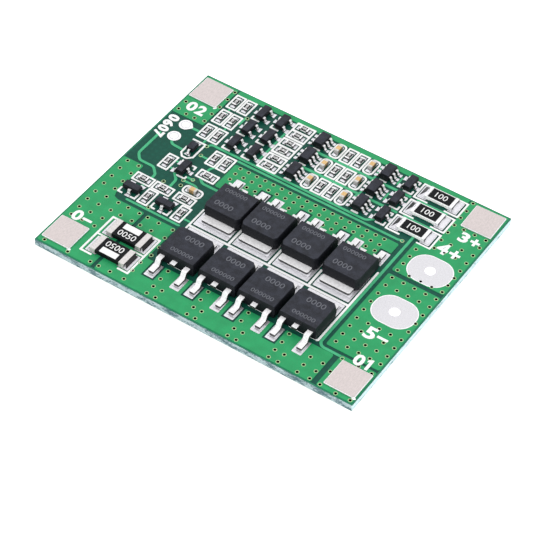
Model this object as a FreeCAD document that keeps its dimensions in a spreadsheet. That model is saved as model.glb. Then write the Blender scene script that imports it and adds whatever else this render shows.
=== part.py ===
import FreeCAD
import Part
import Sketcher
import math
import os
import re

from FreeCAD import Placement, Rotation, Vector

# Battery management board: a bare rectangular circuit board with four weld tabs at its
# corners, two power pads and two sense pads, eight moulded power transistors in two rows,
# two current shunts, three balance resistors, six monitoring chips and small chip parts.
# The origin is the centre of the board's underside, +X along the long side, +Z up.

doc = FreeCAD.newDocument("battery_management_board")

# Driving dimensions, in millimetres and degrees

SIZES = {
    # board, copper and printed legend
    "board_length": 56.0,
    "board_width": 45.0,
    "board_thickness": 1.2,
    # the places below are those on a board of this drawn size, and they move in step with its sides
    "drawn_length": 56.0,
    "drawn_width": 45.0,
    "copper_thickness": 0.07,
    "copper_margin": 0.3,
    "legend_thickness": 0.03,
    "legend_line": 0.3,
    # weld tabs on their pads, with the distance from each board edge to the tab's centre
    "weld_tab_size": 5.0,
    "weld_tab_thickness": 0.3,
    "weld_tab_corner": 0.2,
    "weld_tab_pad_border": 0.15,
    "weld_tab_from_left": 2.75,
    "weld_tab_from_right": 3.0,
    "weld_tab_from_top": 3.1,
    "weld_tab_from_bottom": 3.75,
    # power pads for the pack wires
    "power_pad_diameter": 7.3,
    "power_pad_height": 6.04,
    "power_hole_diameter": 1.7,
    "power_pad_from_right": 4.43,
    "power_plus_y": 6.02,
    "power_minus_y": -4.0,
    # sense pads for the thermal switch wires
    "sense_pad_diameter": 2.2,
    "sense_hole_diameter": 1.1,
    "sense_pad_from_left": 3.7,
    "sense_1_y": 10.92,
    "sense_2_y": 7.78,
    "sense_teardrop_reach": 1.3,
    # moulded power transistors and their lead frames
    "mosfet_width": 6.6,
    "mosfet_length": 6.1,
    "mosfet_height": 2.3,
    "mosfet_corner": 1.0,
    "mosfet_upper_draft": 11.0,
    "mosfet_lower_draft": 5.0,
    "mosfet_gap": 0.567,
    "mosfet_rows_x": 3.15,
    "mosfet_upper_y": -1.0,
    "mosfet_lower_y": -12.43,
    "drain_tab_width": 5.3,
    "drain_tab_thickness": 0.5,
    "drain_tab_reach": 1.25,
    "drain_tab_corner": 0.6,
    "drain_plate_depth": 4.6,
    "drain_pad_width": 6.3,
    "drain_pad_length": 6.2,
    "drain_pad_reach": 2.28,
    "mosfet_lead_width": 0.8,
    "mosfet_lead_thickness": 0.5,
    "mosfet_lead_exit": 0.95,
    "mosfet_lead_spread": 2.3,
    "mosfet_lead_shoulder": 0.6,
    "mosfet_lead_slope": 0.6,
    "mosfet_lead_foot": 1.7,
    "mosfet_lead_embed": 0.6,
    "centre_lead_stub": 0.8,
    "mosfet_pad_width": 1.65,
    "mosfet_pad_length": 2.9,
    "mosfet_pad_start": 0.55,
    "gate_isolation": 0.3,
    # current shunts and balance resistors
    "shunt_length": 6.3,
    "shunt_width": 3.2,
    "shunt_height": 0.8,
    "shunt_terminal": 1.0,
    "shunt_film": 0.08,
    "shunt_pad_length": 2.0,
    "shunt_pad_width": 3.4,
    "shunt_pad_reach": 3.93,
    "shunt_x": -16.9,
    "shunt_first_y": -14.0,
    "shunt_spacing": 4.15,
    "balance_length": 5.0,
    "balance_width": 2.5,
    "balance_height": 0.55,
    "balance_terminal": 0.6,
    "balance_film": 0.05,
    "balance_element_width": 2.15,
    "balance_pad_length": 1.6,
    "balance_pad_width": 2.8,
    "balance_pad_reach": 3.5,
    "balance_column_x": 17.2,
    # three rows of monitoring circuits, one for each cell
    "row_first_from_top": 2.75,
    "row_pitch": 4.07,
    # monitoring chips with six leads and small transistors with three
    "chip_body_length": 2.9,
    "chip_body_width": 1.6,
    "chip_body_height": 1.1,
    "chip_lead_pitch": 0.95,
    "transistor_body_width": 1.3,
    "small_body_draft": 8.0,
    "small_lead_width": 0.4,
    "small_lead_thickness": 0.14,
    "small_lead_root": 0.224,
    "small_body_clearance": 0.056,
    "small_lead_exit": 0.5,
    "small_lead_slope": 0.22,
    "small_lead_foot": 0.36,
    "small_pad_width": 0.6,
    "small_pad_length": 0.95,
    "small_pad_start": 0.1,
    "chip_column_1_x": -4.45,
    "chip_column_2_x": 7.75,
    "transistor_column_1_x": -15.5,
    "transistor_column_2_x": -11.85,
    "transistor_column_3_x": 11.75,
    # diode
    "diode_length": 2.7,
    "diode_width": 1.6,
    "diode_height": 1.1,
    "diode_lead_width": 0.65,
    "diode_pad_width": 1.1,
    "diode_pad_length": 1.0,
    "diode_x": -20.2,
    "diode_y": 6.9,
    # small chip resistors and capacitors with their printed outlines
    "small_part_length": 1.6,
    "small_part_width": 0.8,
    "small_part_terminal": 0.32,
    "resistor_height": 0.45,
    "capacitor_height": 0.8,
    "outline_length": 3.5,
    "outline_width": 1.95,
    "outline_gap": 0.1,
    "outline_corner": 0.45,
    "divider_length": 3.9,
    "end_line_length": 8.2,
    "resistor_column_1_x": -20.7,
    "resistor_column_2_x": 0.58,
    "divider_column_x": -8.4,
    "capacitor_column_1_x": -1.5,
    "capacitor_column_2_x": 4.7,
    # copper pours and tracks, by their edges
    "battery_pour_width": 5.7,
    "battery_pour_height": 9.8,
    "plus_pour_width": 9.0,
    "plus_pour_bottom_y": 3.0,
    "pour_gap": 0.8,
    "minus_pour_bottom_y": -14.9,
    "first_cell_pour_width": 6.0,
    "first_cell_pour_top_y": -15.4,
    "source_pour_left_x": -12.8,
    "source_pour_right_x": 16.9,
    "source_pour_top_y": 8.1,
    "source_pour_bottom_y": 2.3,
    "sense_pour_left_x": -17.4,
    "sense_pour_step_x": -12.2,
    "sense_pour_right_x": 20.8,
    "sense_pour_top_y": -8.6,
    "sense_pour_step_y": -16.0,
    "ground_pour_right_x": -18.05,
    "ground_pour_strip_x": -24.3,
    "ground_pour_strip_top_y": -0.35,
    "ground_pour_corner": 1.0,
    "track_width": 0.45,
    "track_bend": 1.2,
}

sheet = doc.addObject("Spreadsheet::Sheet", "Sizes")
for row, (alias, value) in enumerate(SIZES.items(), start=1):
    sheet.set(f"A{row}", alias)
    sheet.set(f"B{row}", str(value))
    sheet.setAlias(f"B{row}", alias)
doc.recompute()


def formula(text):
    """Turn the size names in a formula into references to the sheet."""
    return re.sub(r"[a-z]\w+", lambda word: "Sizes." + word[0] if word[0] in SIZES else word[0], text)


def length_of(text):
    """Work out a formula of sizes as a number."""
    return float(sheet.evalExpression(formula(text)))


def bind(feature, **formulas):
    """Bind a feature's properties to formulas of the sheet's sizes."""
    for name, text in formulas.items():
        feature.setExpression(name, formula(text))


def across(x):
    """Move an x place on the drawn board in step with the board's length."""
    return f"({x}) * board_length / drawn_length"


def up(y):
    """Move a y place on the drawn board in step with the board's width."""
    return f"({y}) * board_width / drawn_width"


def moved(places):
    """Move places that start with x and y on the drawn board."""
    return [(length_of(across(x)), length_of(up(y)), *rest) for x, y, *rest in places]


# Places that several pieces share

ZERO = "0 * board_length"
BOARD_TOP = "board_thickness"
PAD_TOP = "board_thickness + copper_thickness"
MOSFET_PITCH = "(mosfet_width + mosfet_gap)"
MOSFET_ROWS_LEFT = f"({across('mosfet_rows_x')} - 2 * {MOSFET_PITCH})"
LEFT_EDGE = "(-board_length / 2 + copper_margin)"
RIGHT_EDGE = "(board_length / 2 - copper_margin)"
TOP_EDGE = "(board_width / 2 - copper_margin)"
BOTTOM_EDGE = "(-board_width / 2 + copper_margin)"
POWER_PAD_X = length_of("board_length / 2 - power_pad_from_right")
SENSE_PAD_X = length_of("-board_length / 2 + sense_pad_from_left")
POWER_PADS = {
    "p_plus": Vector(POWER_PAD_X, length_of(up("power_plus_y")), 0),
    "p_minus": Vector(POWER_PAD_X, length_of(up("power_minus_y")), 0),
}
SENSE_PADS = {
    "s1": Vector(SENSE_PAD_X, length_of(up("sense_1_y")), 0),
    "s2": Vector(SENSE_PAD_X, length_of(up("sense_2_y")), 0),
}
WELD_TAB_LEFT_X = length_of("-board_length / 2 + weld_tab_from_left")
WELD_TAB_RIGHT_X = length_of("board_length / 2 - weld_tab_from_right")
WELD_TAB_TOP_Y = length_of("board_width / 2 - weld_tab_from_top")
WELD_TAB_BOTTOM_Y = length_of("-board_width / 2 + weld_tab_from_bottom")
WELD_TABS = {
    "b_minus": (WELD_TAB_LEFT_X, WELD_TAB_BOTTOM_Y),
    "b1": (WELD_TAB_RIGHT_X, WELD_TAB_BOTTOM_Y),
    "b2": (WELD_TAB_LEFT_X, WELD_TAB_TOP_Y),
    "b_plus": (WELD_TAB_RIGHT_X, WELD_TAB_TOP_Y),
}
ROWS_Y = [length_of(f"board_width / 2 - row_first_from_top - {row} * row_pitch") for row in range(3)]

# Each power transistor floated a little from its grid place as its solder set: x for each, y for the row
MOSFET_DRIFT = {"upper": ((0.2, -0.2, -0.2, -0.1), 0.05), "lower": ((0.0, 0.2, 0.0, 0.0), 0.18)}

# Single parts between the rows and the pours: x, y and the turn of the part's long axis
SINGLE_RESISTORS = moved([
    (-21.7, 2.55, 90),
    (-16.05, 7.2, 90),
    (-14.0, 7.2, 90),
    (-19.65, -5.6, 90),
    (-13.45, -5.6, 90),
    (-14.8, 3.32, 0),
    (-14.75, -2.8, 0),
    (-22.47, -2.8, 0),
    (-18.82, -2.8, 0),
])
SINGLE_CAPACITORS = moved([(-14.7, -0.75, 0)])
# The turn puts a transistor's single lead to the left at 0 degrees
SINGLE_TRANSISTORS = moved([(-18.6, 2.4, 180), (-22.45, -5.7, 90), (-16.35, -5.7, 90)])

# Tracks under the solder mask, by their corners
TRACKS = {
    "cell_bus": moved([(-18.3, 9.4), (10.4, 9.4)]),
    "supply_bus": moved([(-12.8, 8.85), (16.7, 8.85)]),
    "first_cell_track": moved([(17.87, 10.2), (17.87, -15.7), (22.0, -15.7)]),
    "charge_sense_track": moved([(-26.6, 6.0), (-26.6, 0.37), (-21.64, 0.37), (-21.64, -1.7)]),
    "gate_track": moved([(-22.0, -7.78), (-12.3, -7.78)]),
}

ON_YZ = Rotation(Vector(1, 1, 1), 120)
ON_XZ = Rotation(Vector(1, 0, 0), 90)
UPRIGHT = Vector(0, 0, 1)

nodes = []


def node(feature, label):
    """Give a finished sub-part its name and list it for writing."""
    feature.Label = label
    nodes.append(feature)
    return feature


def at(x, y, z=0.0, turn=0.0):
    """Return a place on the board, turned about the vertical."""
    return Placement(Vector(x, y, z), Rotation(UPRIGHT, turn))


def draw_loops(sketch, *loops):
    """Draw closed loops of corners, each corner bound to two formulas."""
    first = 0
    for corners in loops:
        points = [Vector(length_of(x), length_of(y), 0) for x, y in corners]
        count = len(points)
        for index, point in enumerate(points):
            sketch.addGeometry(Part.LineSegment(point, points[(index + 1) % count]), False)
        for index, point in enumerate(points):
            line = first + index
            following = first + (index + 1) % count
            sketch.addConstraint(Sketcher.Constraint("Coincident", line, 2, following, 1))
            side = Sketcher.Constraint("DistanceX", -1, 1, line, 1, point.x)
            level = Sketcher.Constraint("DistanceY", -1, 1, line, 1, point.y)
            sketch.setExpression(f"Constraints[{sketch.addConstraint(side)}]", formula(corners[index][0]))
            sketch.setExpression(f"Constraints[{sketch.addConstraint(level)}]", formula(corners[index][1]))
        first += count
    return sketch


def outline(name, *loops, turn=None):
    """Start a sketch of its own, turned where a turn is given, and draw loops in it."""
    sketch = doc.addObject("Sketcher::SketchObject", name)
    if turn is not None:
        sketch.Placement = Placement(Vector(0, 0, 0), turn)
    return draw_loops(sketch, *loops)


def rectangle(length, width):
    """Return the corners of a rectangle about the origin."""
    x = f"({length}) / 2"
    y = f"({width}) / 2"
    return [(f"-{x}", f"-{y}"), (x, f"-{y}"), (x, y), (f"-{x}", y)]


def clipped(length, width, corner):
    """Return the corners of a rectangle about the origin with its corners clipped."""
    x = f"({length}) / 2"
    y = f"({width}) / 2"
    c = f"({corner})"
    return [
        (f"-{x} + {c}", f"-{y}"), (f"{x} - {c}", f"-{y}"), (x, f"-{y} + {c}"), (x, f"{y} - {c}"),
        (f"{x} - {c}", y), (f"-{x} + {c}", y), (f"-{x}", f"{y} - {c}"), (f"-{x}", f"-{y} + {c}"),
    ]


def span(x_low, x_high, y_low, y_high):
    """Return the corners of a rectangle between four edges."""
    return [(x_low, y_low), (x_high, y_low), (x_high, y_high), (x_low, y_high)]


def prism(name, sketch, height, place, symmetric=False, **more):
    """Extrude a sketch along its normal and set it in place, with more of its formulas where given."""
    solid = doc.addObject("Part::Extrusion", name)
    solid.Base = sketch
    solid.DirMode = "Normal"
    solid.Solid = True
    solid.Symmetric = symmetric
    bind(solid, LengthFwd=height, **more)
    solid.Placement = place
    return solid


def block(name, length, width, height, place, centre=(0.0, 0.0)):
    """Make a box centred on its place, or beside it, and standing on it."""
    solid = doc.addObject("Part::Box", name)
    bind(solid, Length=length, Width=width, Height=height)
    corner = Vector(centre[0] - length_of(length) / 2, centre[1] - length_of(width) / 2, 0)
    solid.Placement = place.multiply(Placement(corner, Rotation()))
    return solid


def cylinder(name, radius, height, centre):
    """Make an upright cylinder on a centre point."""
    solid = doc.addObject("Part::Cylinder", name)
    bind(solid, Radius=radius, Height=height)
    solid.Placement = Placement(centre, Rotation())
    return solid


def gather(name, pieces):
    """Keep separate solids together as one group."""
    compound = doc.addObject("Part::Compound", name)
    compound.Links = pieces
    return compound


def fuse(name, pieces):
    """Join solids into one."""
    joined = doc.addObject("Part::MultiFuse", name)
    joined.Shapes = pieces
    joined.Refine = True
    return joined


def cut(name, base, tool):
    """Take one solid away from another."""
    result = doc.addObject("Part::Cut", name)
    result.Base = base
    result.Tool = tool
    result.Refine = True
    return result


# Circuit board: a rectangle of glass-fibre laminate with four drilled holes

def plane_of(body, role):
    """Find one of a body's own origin planes."""
    return next(item for item in body.Origin.OriginFeatures if item.Role == role)


def board_sketch(board, name):
    """Start a sketch on the board's XY plane."""
    sketch = board.newObject("Sketcher::SketchObject", name)
    sketch.AttachmentSupport = [(plane_of(board, "XY_Plane"), "")]
    sketch.MapMode = "FlatFace"
    return sketch


def draw_holes(sketch, radii):
    """Draw a bound circle for each hole."""
    for centre, radius in radii:
        circle = Part.Circle(centre, UPRIGHT, length_of(radius))
        item = sketch.addGeometry(circle, False)
        index = sketch.addConstraint(Sketcher.Constraint("Radius", item, length_of(radius)))
        sketch.setExpression(f"Constraints[{index}]", formula(radius))
        sketch.addConstraint(Sketcher.Constraint("DistanceX", -1, 1, item, 3, centre.x))
        sketch.addConstraint(Sketcher.Constraint("DistanceY", -1, 1, item, 3, centre.y))


def make_circuit_board():
    board = doc.addObject("PartDesign::Body", "Board")
    face = board_sketch(board, "BoardFace")
    draw_loops(face, rectangle("board_length", "board_width"))
    laminate = board.newObject("PartDesign::Pad", "Laminate")
    laminate.Profile = face
    bind(laminate, Length="board_thickness")
    doc.recompute()

    drilled = board_sketch(board, "DrilledHoles")
    holes = [(centre, "power_hole_diameter / 2") for centre in POWER_PADS.values()]
    holes += [(centre, "sense_hole_diameter / 2") for centre in SENSE_PADS.values()]
    draw_holes(drilled, holes)
    drilling = board.newObject("PartDesign::Pocket", "Drilling")
    drilling.Profile = drilled
    drilling.Type = "ThroughAll"
    drilling.Reversed = True
    doc.recompute()

    return node(board, "circuit_board")


# Wire pads: a flat land on top of the board, drilled for the wire

lands = []


def drilled_pad(name, land, centre, hole_radius):
    """Drill the wire hole through a pad, and keep the whole land for its opening in the copper."""
    lands.append(land)
    bore = cylinder(f"{name}_bore", hole_radius, PAD_TOP, centre)
    return node(cut(f"{name}_drilled", land, bore), f"{name}_pad")


def make_power_pad(name, centre):
    """A round land with two straight sides."""
    top = Vector(centre.x, centre.y, length_of(BOARD_TOP))
    disc = cylinder(f"{name}_disc", "power_pad_diameter / 2", "copper_thickness", top)
    straight = block(f"{name}_straight", "power_pad_diameter", "power_pad_height", "copper_thickness",
                     at(centre.x, centre.y, top.z))
    land = doc.addObject("Part::Common", f"{name}_land")
    land.Base = disc
    land.Tool = straight
    return drilled_pad(name, land, centre, "power_hole_diameter / 2")


def make_sense_pad(name, centre, teardrop):
    """A small round land, with a teardrop towards its track where it has one."""
    top = Vector(centre.x, centre.y, length_of(BOARD_TOP))
    land = cylinder(f"{name}_disc", "sense_pad_diameter / 2", "copper_thickness", top)
    if teardrop:
        # The teardrop's straight sides are tangents from its tip to the round land
        reach = length_of("sense_teardrop_reach")
        radius = length_of("sense_pad_diameter / 2")
        half_angle = math.acos(radius / reach)
        side = radius * math.sin(half_angle)
        touch = radius * math.cos(half_angle)
        tip = [Vector(touch, -side, 0), Vector(reach, 0, 0), Vector(touch, side, 0), Vector(0, 0, 0)]
        corner = doc.addObject("Part::Feature", f"{name}_teardrop")
        corner.Shape = Part.Face(Part.makePolygon(tip + tip[:1])).extrude(
            Vector(0, 0, length_of("copper_thickness")))
        corner.Placement = Placement(top, Rotation())
        land = fuse(f"{name}_land", [land, corner])
    return drilled_pad(name, land, centre, "sense_hole_diameter / 2")


# Weld tabs: square nickel plates soldered to their pads, for the cells' strips

def make_weld_tabs():
    plan = outline("WeldTabPlan", clipped("weld_tab_size", "weld_tab_size", "weld_tab_corner"))
    for name, (x, y) in WELD_TABS.items():
        tab = prism(f"{name}_tab", plan, "weld_tab_thickness", at(x, y, length_of(PAD_TOP)))
        node(tab, f"weld_tab_{name}")


# Power transistors: a moulded block over a drain plate, with two gull-wing leads

def gull_wing(name, exit_height, thickness, shoulder, slope, foot, embed):
    """Draw a lead's side: out of the body, down a slope and flat along the pad."""
    shift = f"{thickness} * tan(atan(({exit_height}) / ({slope})) / 2)"
    knee = f"{shoulder}"
    heel = f"{shoulder} + {slope}"
    toe = f"{shoulder} + {slope} + {foot}"
    return outline(name, [
        (f"-({embed})", exit_height),
        (knee, exit_height),
        (heel, ZERO),
        (toe, ZERO),
        (toe, thickness),
        (f"{heel} + {shift}", thickness),
        (f"{knee} + {shift}", f"{exit_height} + {thickness}"),
        (f"-({embed})", f"{exit_height} + {thickness}"),
    ], turn=ON_YZ)


def make_mosfets():
    """Eight transistors in two rows, tab to tab, each a body and a lead frame."""
    half_width = "mosfet_width / 2"
    half_length = "mosfet_length / 2"
    body_plan = outline("MosfetPlan", [
        (f"-{half_width} + mosfet_corner", f"-{half_length}"),
        (f"{half_width} - mosfet_corner", f"-{half_length}"),
        (half_width, f"-{half_length} + mosfet_corner"),
        (half_width, half_length),
        (f"-{half_width}", half_length),
        (f"-{half_width}", f"-{half_length} + mosfet_corner"),
    ])
    tab_end = f"-({half_length} + drain_tab_reach)"
    plate_plan = outline("DrainPlatePlan", [
        ("-drain_tab_width / 2 + drain_tab_corner", tab_end),
        ("drain_tab_width / 2 - drain_tab_corner", tab_end),
        ("drain_tab_width / 2", f"{tab_end} + drain_tab_corner"),
        ("drain_tab_width / 2", f"-{half_length} + drain_plate_depth"),
        ("-drain_tab_width / 2", f"-{half_length} + drain_plate_depth"),
        ("-drain_tab_width / 2", f"{tab_end} + drain_tab_corner"),
    ])
    # The cut-off centre lead runs back inside the body and down to the drain plate
    exit_top = "mosfet_lead_exit + mosfet_lead_thickness"
    centre_side = outline("CentreLeadSide", [
        (f"{half_length} + centre_lead_stub", "mosfet_lead_exit"),
        (f"{half_length} + centre_lead_stub", exit_top),
        (f"{half_length} - mosfet_lead_embed", exit_top),
        (f"-{half_length} + drain_plate_depth - mosfet_lead_embed", "drain_tab_thickness"),
        (f"-{half_length} + drain_plate_depth", "drain_tab_thickness"),
        (f"{half_length} - mosfet_lead_embed / 2", "mosfet_lead_exit"),
    ], turn=ON_YZ)
    lead_side = gull_wing("MosfetLeadSide", "mosfet_lead_exit", "mosfet_lead_thickness",
                          "mosfet_lead_shoulder", "mosfet_lead_slope", "mosfet_lead_foot",
                          "mosfet_lead_embed")
    parting = "(mosfet_lead_exit + mosfet_lead_thickness / 2)"
    seat = Placement(Vector(0, 0, length_of(parting)), Rotation())
    pads = []
    clearances = []
    number = 0
    for row, turn in (("upper", 0), ("lower", 180)):
        row_y = length_of(up(f"mosfet_{row}_y"))
        drift_x, drift_y = MOSFET_DRIFT[row]
        for column in range(4):
            number += 1
            name = f"mosfet_{number}"
            grid_x = length_of(f"{MOSFET_ROWS_LEFT} + {column + 0.5} * {MOSFET_PITCH}")
            place = at(grid_x + drift_x[column], row_y + drift_y, length_of(PAD_TOP), turn)
            plate = prism(f"{name}_plate", plate_plan, "drain_tab_thickness", place)
            centre = prism(f"{name}_centre_lead", centre_side, "mosfet_lead_width", place, symmetric=True)
            drain = fuse(f"{name}_drain", [plate, centre])
            leads = []
            for side in (-1, 1):
                offset = Vector(side * length_of("mosfet_lead_spread"), length_of(half_length), 0)
                lead_place = place.multiply(Placement(offset, Rotation()))
                leads.append(prism(f"{name}_lead_{'source' if side < 0 else 'gate'}", lead_side,
                                   "mosfet_lead_width", lead_place, symmetric=True))
            frame = node(gather(f"{name}_frame", [drain] + leads), f"{name}_lead_frame")
            moulding = prism(f"{name}_moulding", body_plan, f"mosfet_height - {parting}",
                             place.multiply(seat), LengthRev=parting,
                             TaperAngle="-mosfet_upper_draft", TaperAngleRev="-mosfet_lower_draft")
            node(cut(f"{name}_moulded", moulding, frame), f"{name}_body")

            pad_place = at(grid_x, row_y, length_of(BOARD_TOP), turn)
            drain_y = -length_of(f"{half_length} + drain_pad_reach - drain_pad_length / 2")
            pads.append(block(f"{name}_drain_pad", "drain_pad_width", "drain_pad_length",
                              "copper_thickness", pad_place, (0, drain_y)))
            lead_y = length_of(f"{half_length} + mosfet_pad_start + mosfet_pad_length / 2")
            for side in (-1, 1):
                lead_x = side * length_of("mosfet_lead_spread")
                pads.append(block(f"{name}_lead_pad_{side + 1}", "mosfet_pad_width",
                                  "mosfet_pad_length", "copper_thickness", pad_place,
                                  (lead_x, lead_y)))
            clearances.append(block(f"{name}_gate_isolation",
                                    "mosfet_pad_width + 2 * gate_isolation",
                                    "mosfet_pad_length + 2 * gate_isolation", "copper_thickness",
                                    pad_place, (length_of("mosfet_lead_spread"), lead_y)))
    return pads, clearances


# Thick-film parts: a ceramic body between two terminals that wrap round its ends

def wrapped_end(name, length, height, terminal, film):
    """Draw the side of a terminal that wraps over and under the body's end."""
    end = f"{length} / 2"
    inner = f"{length} / 2 - {terminal}"
    return outline(name, [
        (end, ZERO),
        (end, height),
        (inner, height),
        (inner, f"{height} - {film}"),
        (f"{end} - {film}", f"{height} - {film}"),
        (f"{end} - {film}", film),
        (inner, film),
        (inner, ZERO),
    ], turn=ON_XZ)


def make_wrapped_resistor(name, kind, end_side, element_width, place):
    """One large resistor: body with its resistive film, and two terminals."""
    raised = place.multiply(Placement(Vector(0, 0, length_of(f"{kind}_film")), Rotation()))
    ceramic = block(f"{name}_ceramic", f"{kind}_length - 2 * {kind}_film", f"{kind}_width",
                    f"{kind}_height - 2 * {kind}_film", raised)
    film_z = length_of(f"{kind}_height - {kind}_film")
    film_place = place.multiply(Placement(Vector(0, 0, film_z), Rotation()))
    film = block(f"{name}_element", f"{kind}_length - 2 * {kind}_terminal", element_width,
                 f"{kind}_film", film_place)
    node(fuse(f"{name}_coated", [ceramic, film]), f"{name}_body")
    ends = []
    for side, turn in (("right", 0), ("left", 180)):
        turned = place.multiply(Placement(Vector(0, 0, 0), Rotation(UPRIGHT, turn)))
        ends.append(prism(f"{name}_{side}_end", end_side, f"{kind}_width", turned, symmetric=True))
    node(gather(f"{name}_ends", ends), f"{name}_terminals")


def pad_pair(name, length, width, reach, place):
    """Two pads whose outer ends reach the same distance from the part's centre."""
    offset = length_of(f"{reach} - ({length}) / 2")
    return [block(f"{name}_pad_{side + 1}", length, width, "copper_thickness", place, (side * offset, 0))
            for side in (-1, 1)]


def make_shunts_and_balance_resistors():
    pads = []
    shunt_end = wrapped_end("ShuntEnd", "shunt_length", "shunt_height", "shunt_terminal", "shunt_film")
    for number in (1, 2):
        x = length_of(across("shunt_x"))
        y = length_of(f"{up('shunt_first_y')} - {number - 1} * shunt_spacing")
        name = f"shunt_{number}"
        make_wrapped_resistor(name, "shunt", shunt_end, "shunt_width", at(x, y, length_of(PAD_TOP)))
        pads += pad_pair(name, "shunt_pad_length", "shunt_pad_width", "shunt_pad_reach",
                         at(x, y, length_of(BOARD_TOP)))
    balance_end = wrapped_end("BalanceEnd", "balance_length", "balance_height", "balance_terminal",
                              "balance_film")
    for number, y in enumerate(ROWS_Y, start=1):
        name = f"balance_resistor_{number}"
        x = length_of(across("balance_column_x"))
        make_wrapped_resistor(name, "balance", balance_end, "balance_element_width",
                              at(x, y, length_of(PAD_TOP)))
        pads += pad_pair(name, "balance_pad_length", "balance_pad_width", "balance_pad_reach",
                         at(x, y, length_of(BOARD_TOP)))
    return pads


# Small moulded parts: monitoring chips, transistors and the diode

def small_body(name, plan, height, place):
    """A moulding with upright sides up to its leads and drafted sides above them."""
    parting = "(small_lead_exit + small_lead_thickness)"
    seat = Placement(Vector(0, 0, length_of(parting)), Rotation())
    return prism(name, plan, f"{height} - {parting}", place.multiply(seat),
                 LengthRev=f"{parting} - small_body_clearance", TaperAngle="-small_body_draft")


def small_lead(name, side_sketch, width, place, x, wall, turn):
    """One gull-wing lead that leaves a body's wall at a distance along it."""
    local = Placement(Vector(x, wall, 0), Rotation())
    turned = place.multiply(Placement(Vector(0, 0, 0), Rotation(UPRIGHT, turn))).multiply(local)
    return prism(name, side_sketch, width, turned, symmetric=True)


def small_pad(name, width, length, place, x, wall, turn):
    """The pad under one small lead."""
    turned = place.multiply(Placement(Vector(0, 0, 0), Rotation(UPRIGHT, turn)))
    y = wall + length_of(f"small_pad_start + {length} / 2")
    return block(name, width, length, "copper_thickness", turned, (x, y))


def make_small_mouldings():
    # A small lead slopes down straight from the body's wall to its flat foot
    shift = "small_lead_thickness * tan(atan(small_lead_exit / small_lead_slope) / 2)"
    toe = "small_lead_slope + small_lead_foot"
    side = outline("SmallLeadSide", [
        (ZERO, "small_lead_exit"),
        ("small_lead_slope", ZERO),
        (toe, ZERO),
        (toe, "small_lead_thickness"),
        (f"small_lead_slope + {shift}", "small_lead_thickness"),
        (ZERO, "small_lead_exit + small_lead_root"),
    ], turn=ON_YZ)
    chip_plan = outline("ChipPlan", rectangle("chip_body_length", "chip_body_width"))
    transistor_plan = outline("TransistorPlan", rectangle("chip_body_length", "transistor_body_width"))
    diode_plan = outline("DiodePlan", rectangle("diode_width", "diode_length"))
    pads = []

    # Monitoring chips lie with their long axis across the board and three leads on each side
    wall = length_of("chip_body_width / 2")
    columns = [length_of(across(f"chip_column_{column}_x")) for column in (1, 2)]
    places = [(x, y) for x in columns for y in ROWS_Y]
    for number, (x, y) in enumerate(places, start=1):
        name = f"monitor_chip_{number}"
        place = at(x, y, length_of(PAD_TOP), 90)
        pad_place = at(x, y, length_of(BOARD_TOP), 90)
        leads = []
        for turn in (0, 180):
            for step in (-1, 0, 1):
                along = step * length_of("chip_lead_pitch")
                key = f"{turn}_{step + 1}"
                leads.append(small_lead(f"{name}_lead_{key}", side, "small_lead_width", place,
                                        along, wall, turn))
                pads.append(small_pad(f"{name}_pad_{key}", "small_pad_width", "small_pad_length",
                                      pad_place, along, wall, turn))
        node(small_body(f"{name}_moulding", chip_plan, "chip_body_height", place), f"{name}_body")
        node(gather(f"{name}_leads_group", leads), f"{name}_leads")

    # Three-lead transistors: two leads on one side and one in the middle of the other
    wall = length_of("transistor_body_width / 2")
    columns = [("transistor_column_1_x", 0), ("transistor_column_2_x", 0), ("transistor_column_3_x", 180)]
    places = [(length_of(across(column)), y, turn) for column, turn in columns for y in ROWS_Y]
    places += SINGLE_TRANSISTORS
    bodies = []
    leads = []
    for number, (x, y, angle) in enumerate(places, start=1):
        name = f"transistor_{number}"
        place = at(x, y, length_of(PAD_TOP), angle + 90)
        pad_place = at(x, y, length_of(BOARD_TOP), angle + 90)
        bodies.append(small_body(f"{name}_moulding", transistor_plan, "chip_body_height", place))
        for turn, steps in ((0, (0,)), (180, (-1, 1))):
            for step in steps:
                along = step * length_of("chip_lead_pitch")
                key = f"{turn}_{step + 1}"
                leads.append(small_lead(f"{name}_lead_{key}", side, "small_lead_width", place,
                                        along, wall, turn))
                pads.append(small_pad(f"{name}_pad_{key}", "small_pad_width", "small_pad_length",
                                      pad_place, along, wall, turn))
    node(gather("transistor_mouldings", bodies), "small_transistor_bodies")
    node(gather("transistor_lead_group", leads), "small_transistor_leads")

    # Diode with one wide lead at each end
    x = length_of(across("diode_x"))
    y = length_of(up("diode_y"))
    wall = length_of("diode_length / 2")
    place = at(x, y, length_of(PAD_TOP))
    pad_place = at(x, y, length_of(BOARD_TOP))
    node(small_body("diode_moulding", diode_plan, "diode_height", place), "diode_body")
    leads = []
    for turn in (0, 180):
        leads.append(small_lead(f"diode_lead_{turn}", side, "diode_lead_width", place, 0, wall, turn))
        pads.append(small_pad(f"diode_pad_{turn}", "diode_pad_width", "diode_pad_length",
                              pad_place, 0, wall, turn))
    node(gather("diode_lead_group", leads), "diode_leads")
    return pads


# Small chip resistors and capacitors, each inside its printed outline

def resistor_places():
    """List every small resistor: two columns of pairs, a column of dividers and single ones."""
    side_step = length_of("outline_width + outline_gap")
    half_pair = length_of("outline_width / 2")
    places = []
    for column in (1, 2):
        for step in (0, 1):
            x = length_of(across(f"resistor_column_{column}_x")) + step * side_step
            places += [(x, y, 90) for y in ROWS_Y]
    for y in ROWS_Y:
        places += [(length_of(across("divider_column_x")), y + side * half_pair, 0) for side in (1, -1)]
    return places + SINGLE_RESISTORS


def capacitor_places():
    columns = [length_of(across(f"capacitor_column_{column}_x")) for column in (1, 2)]
    return [(x, y, 90) for x in columns for y in ROWS_Y] + SINGLE_CAPACITORS


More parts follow.
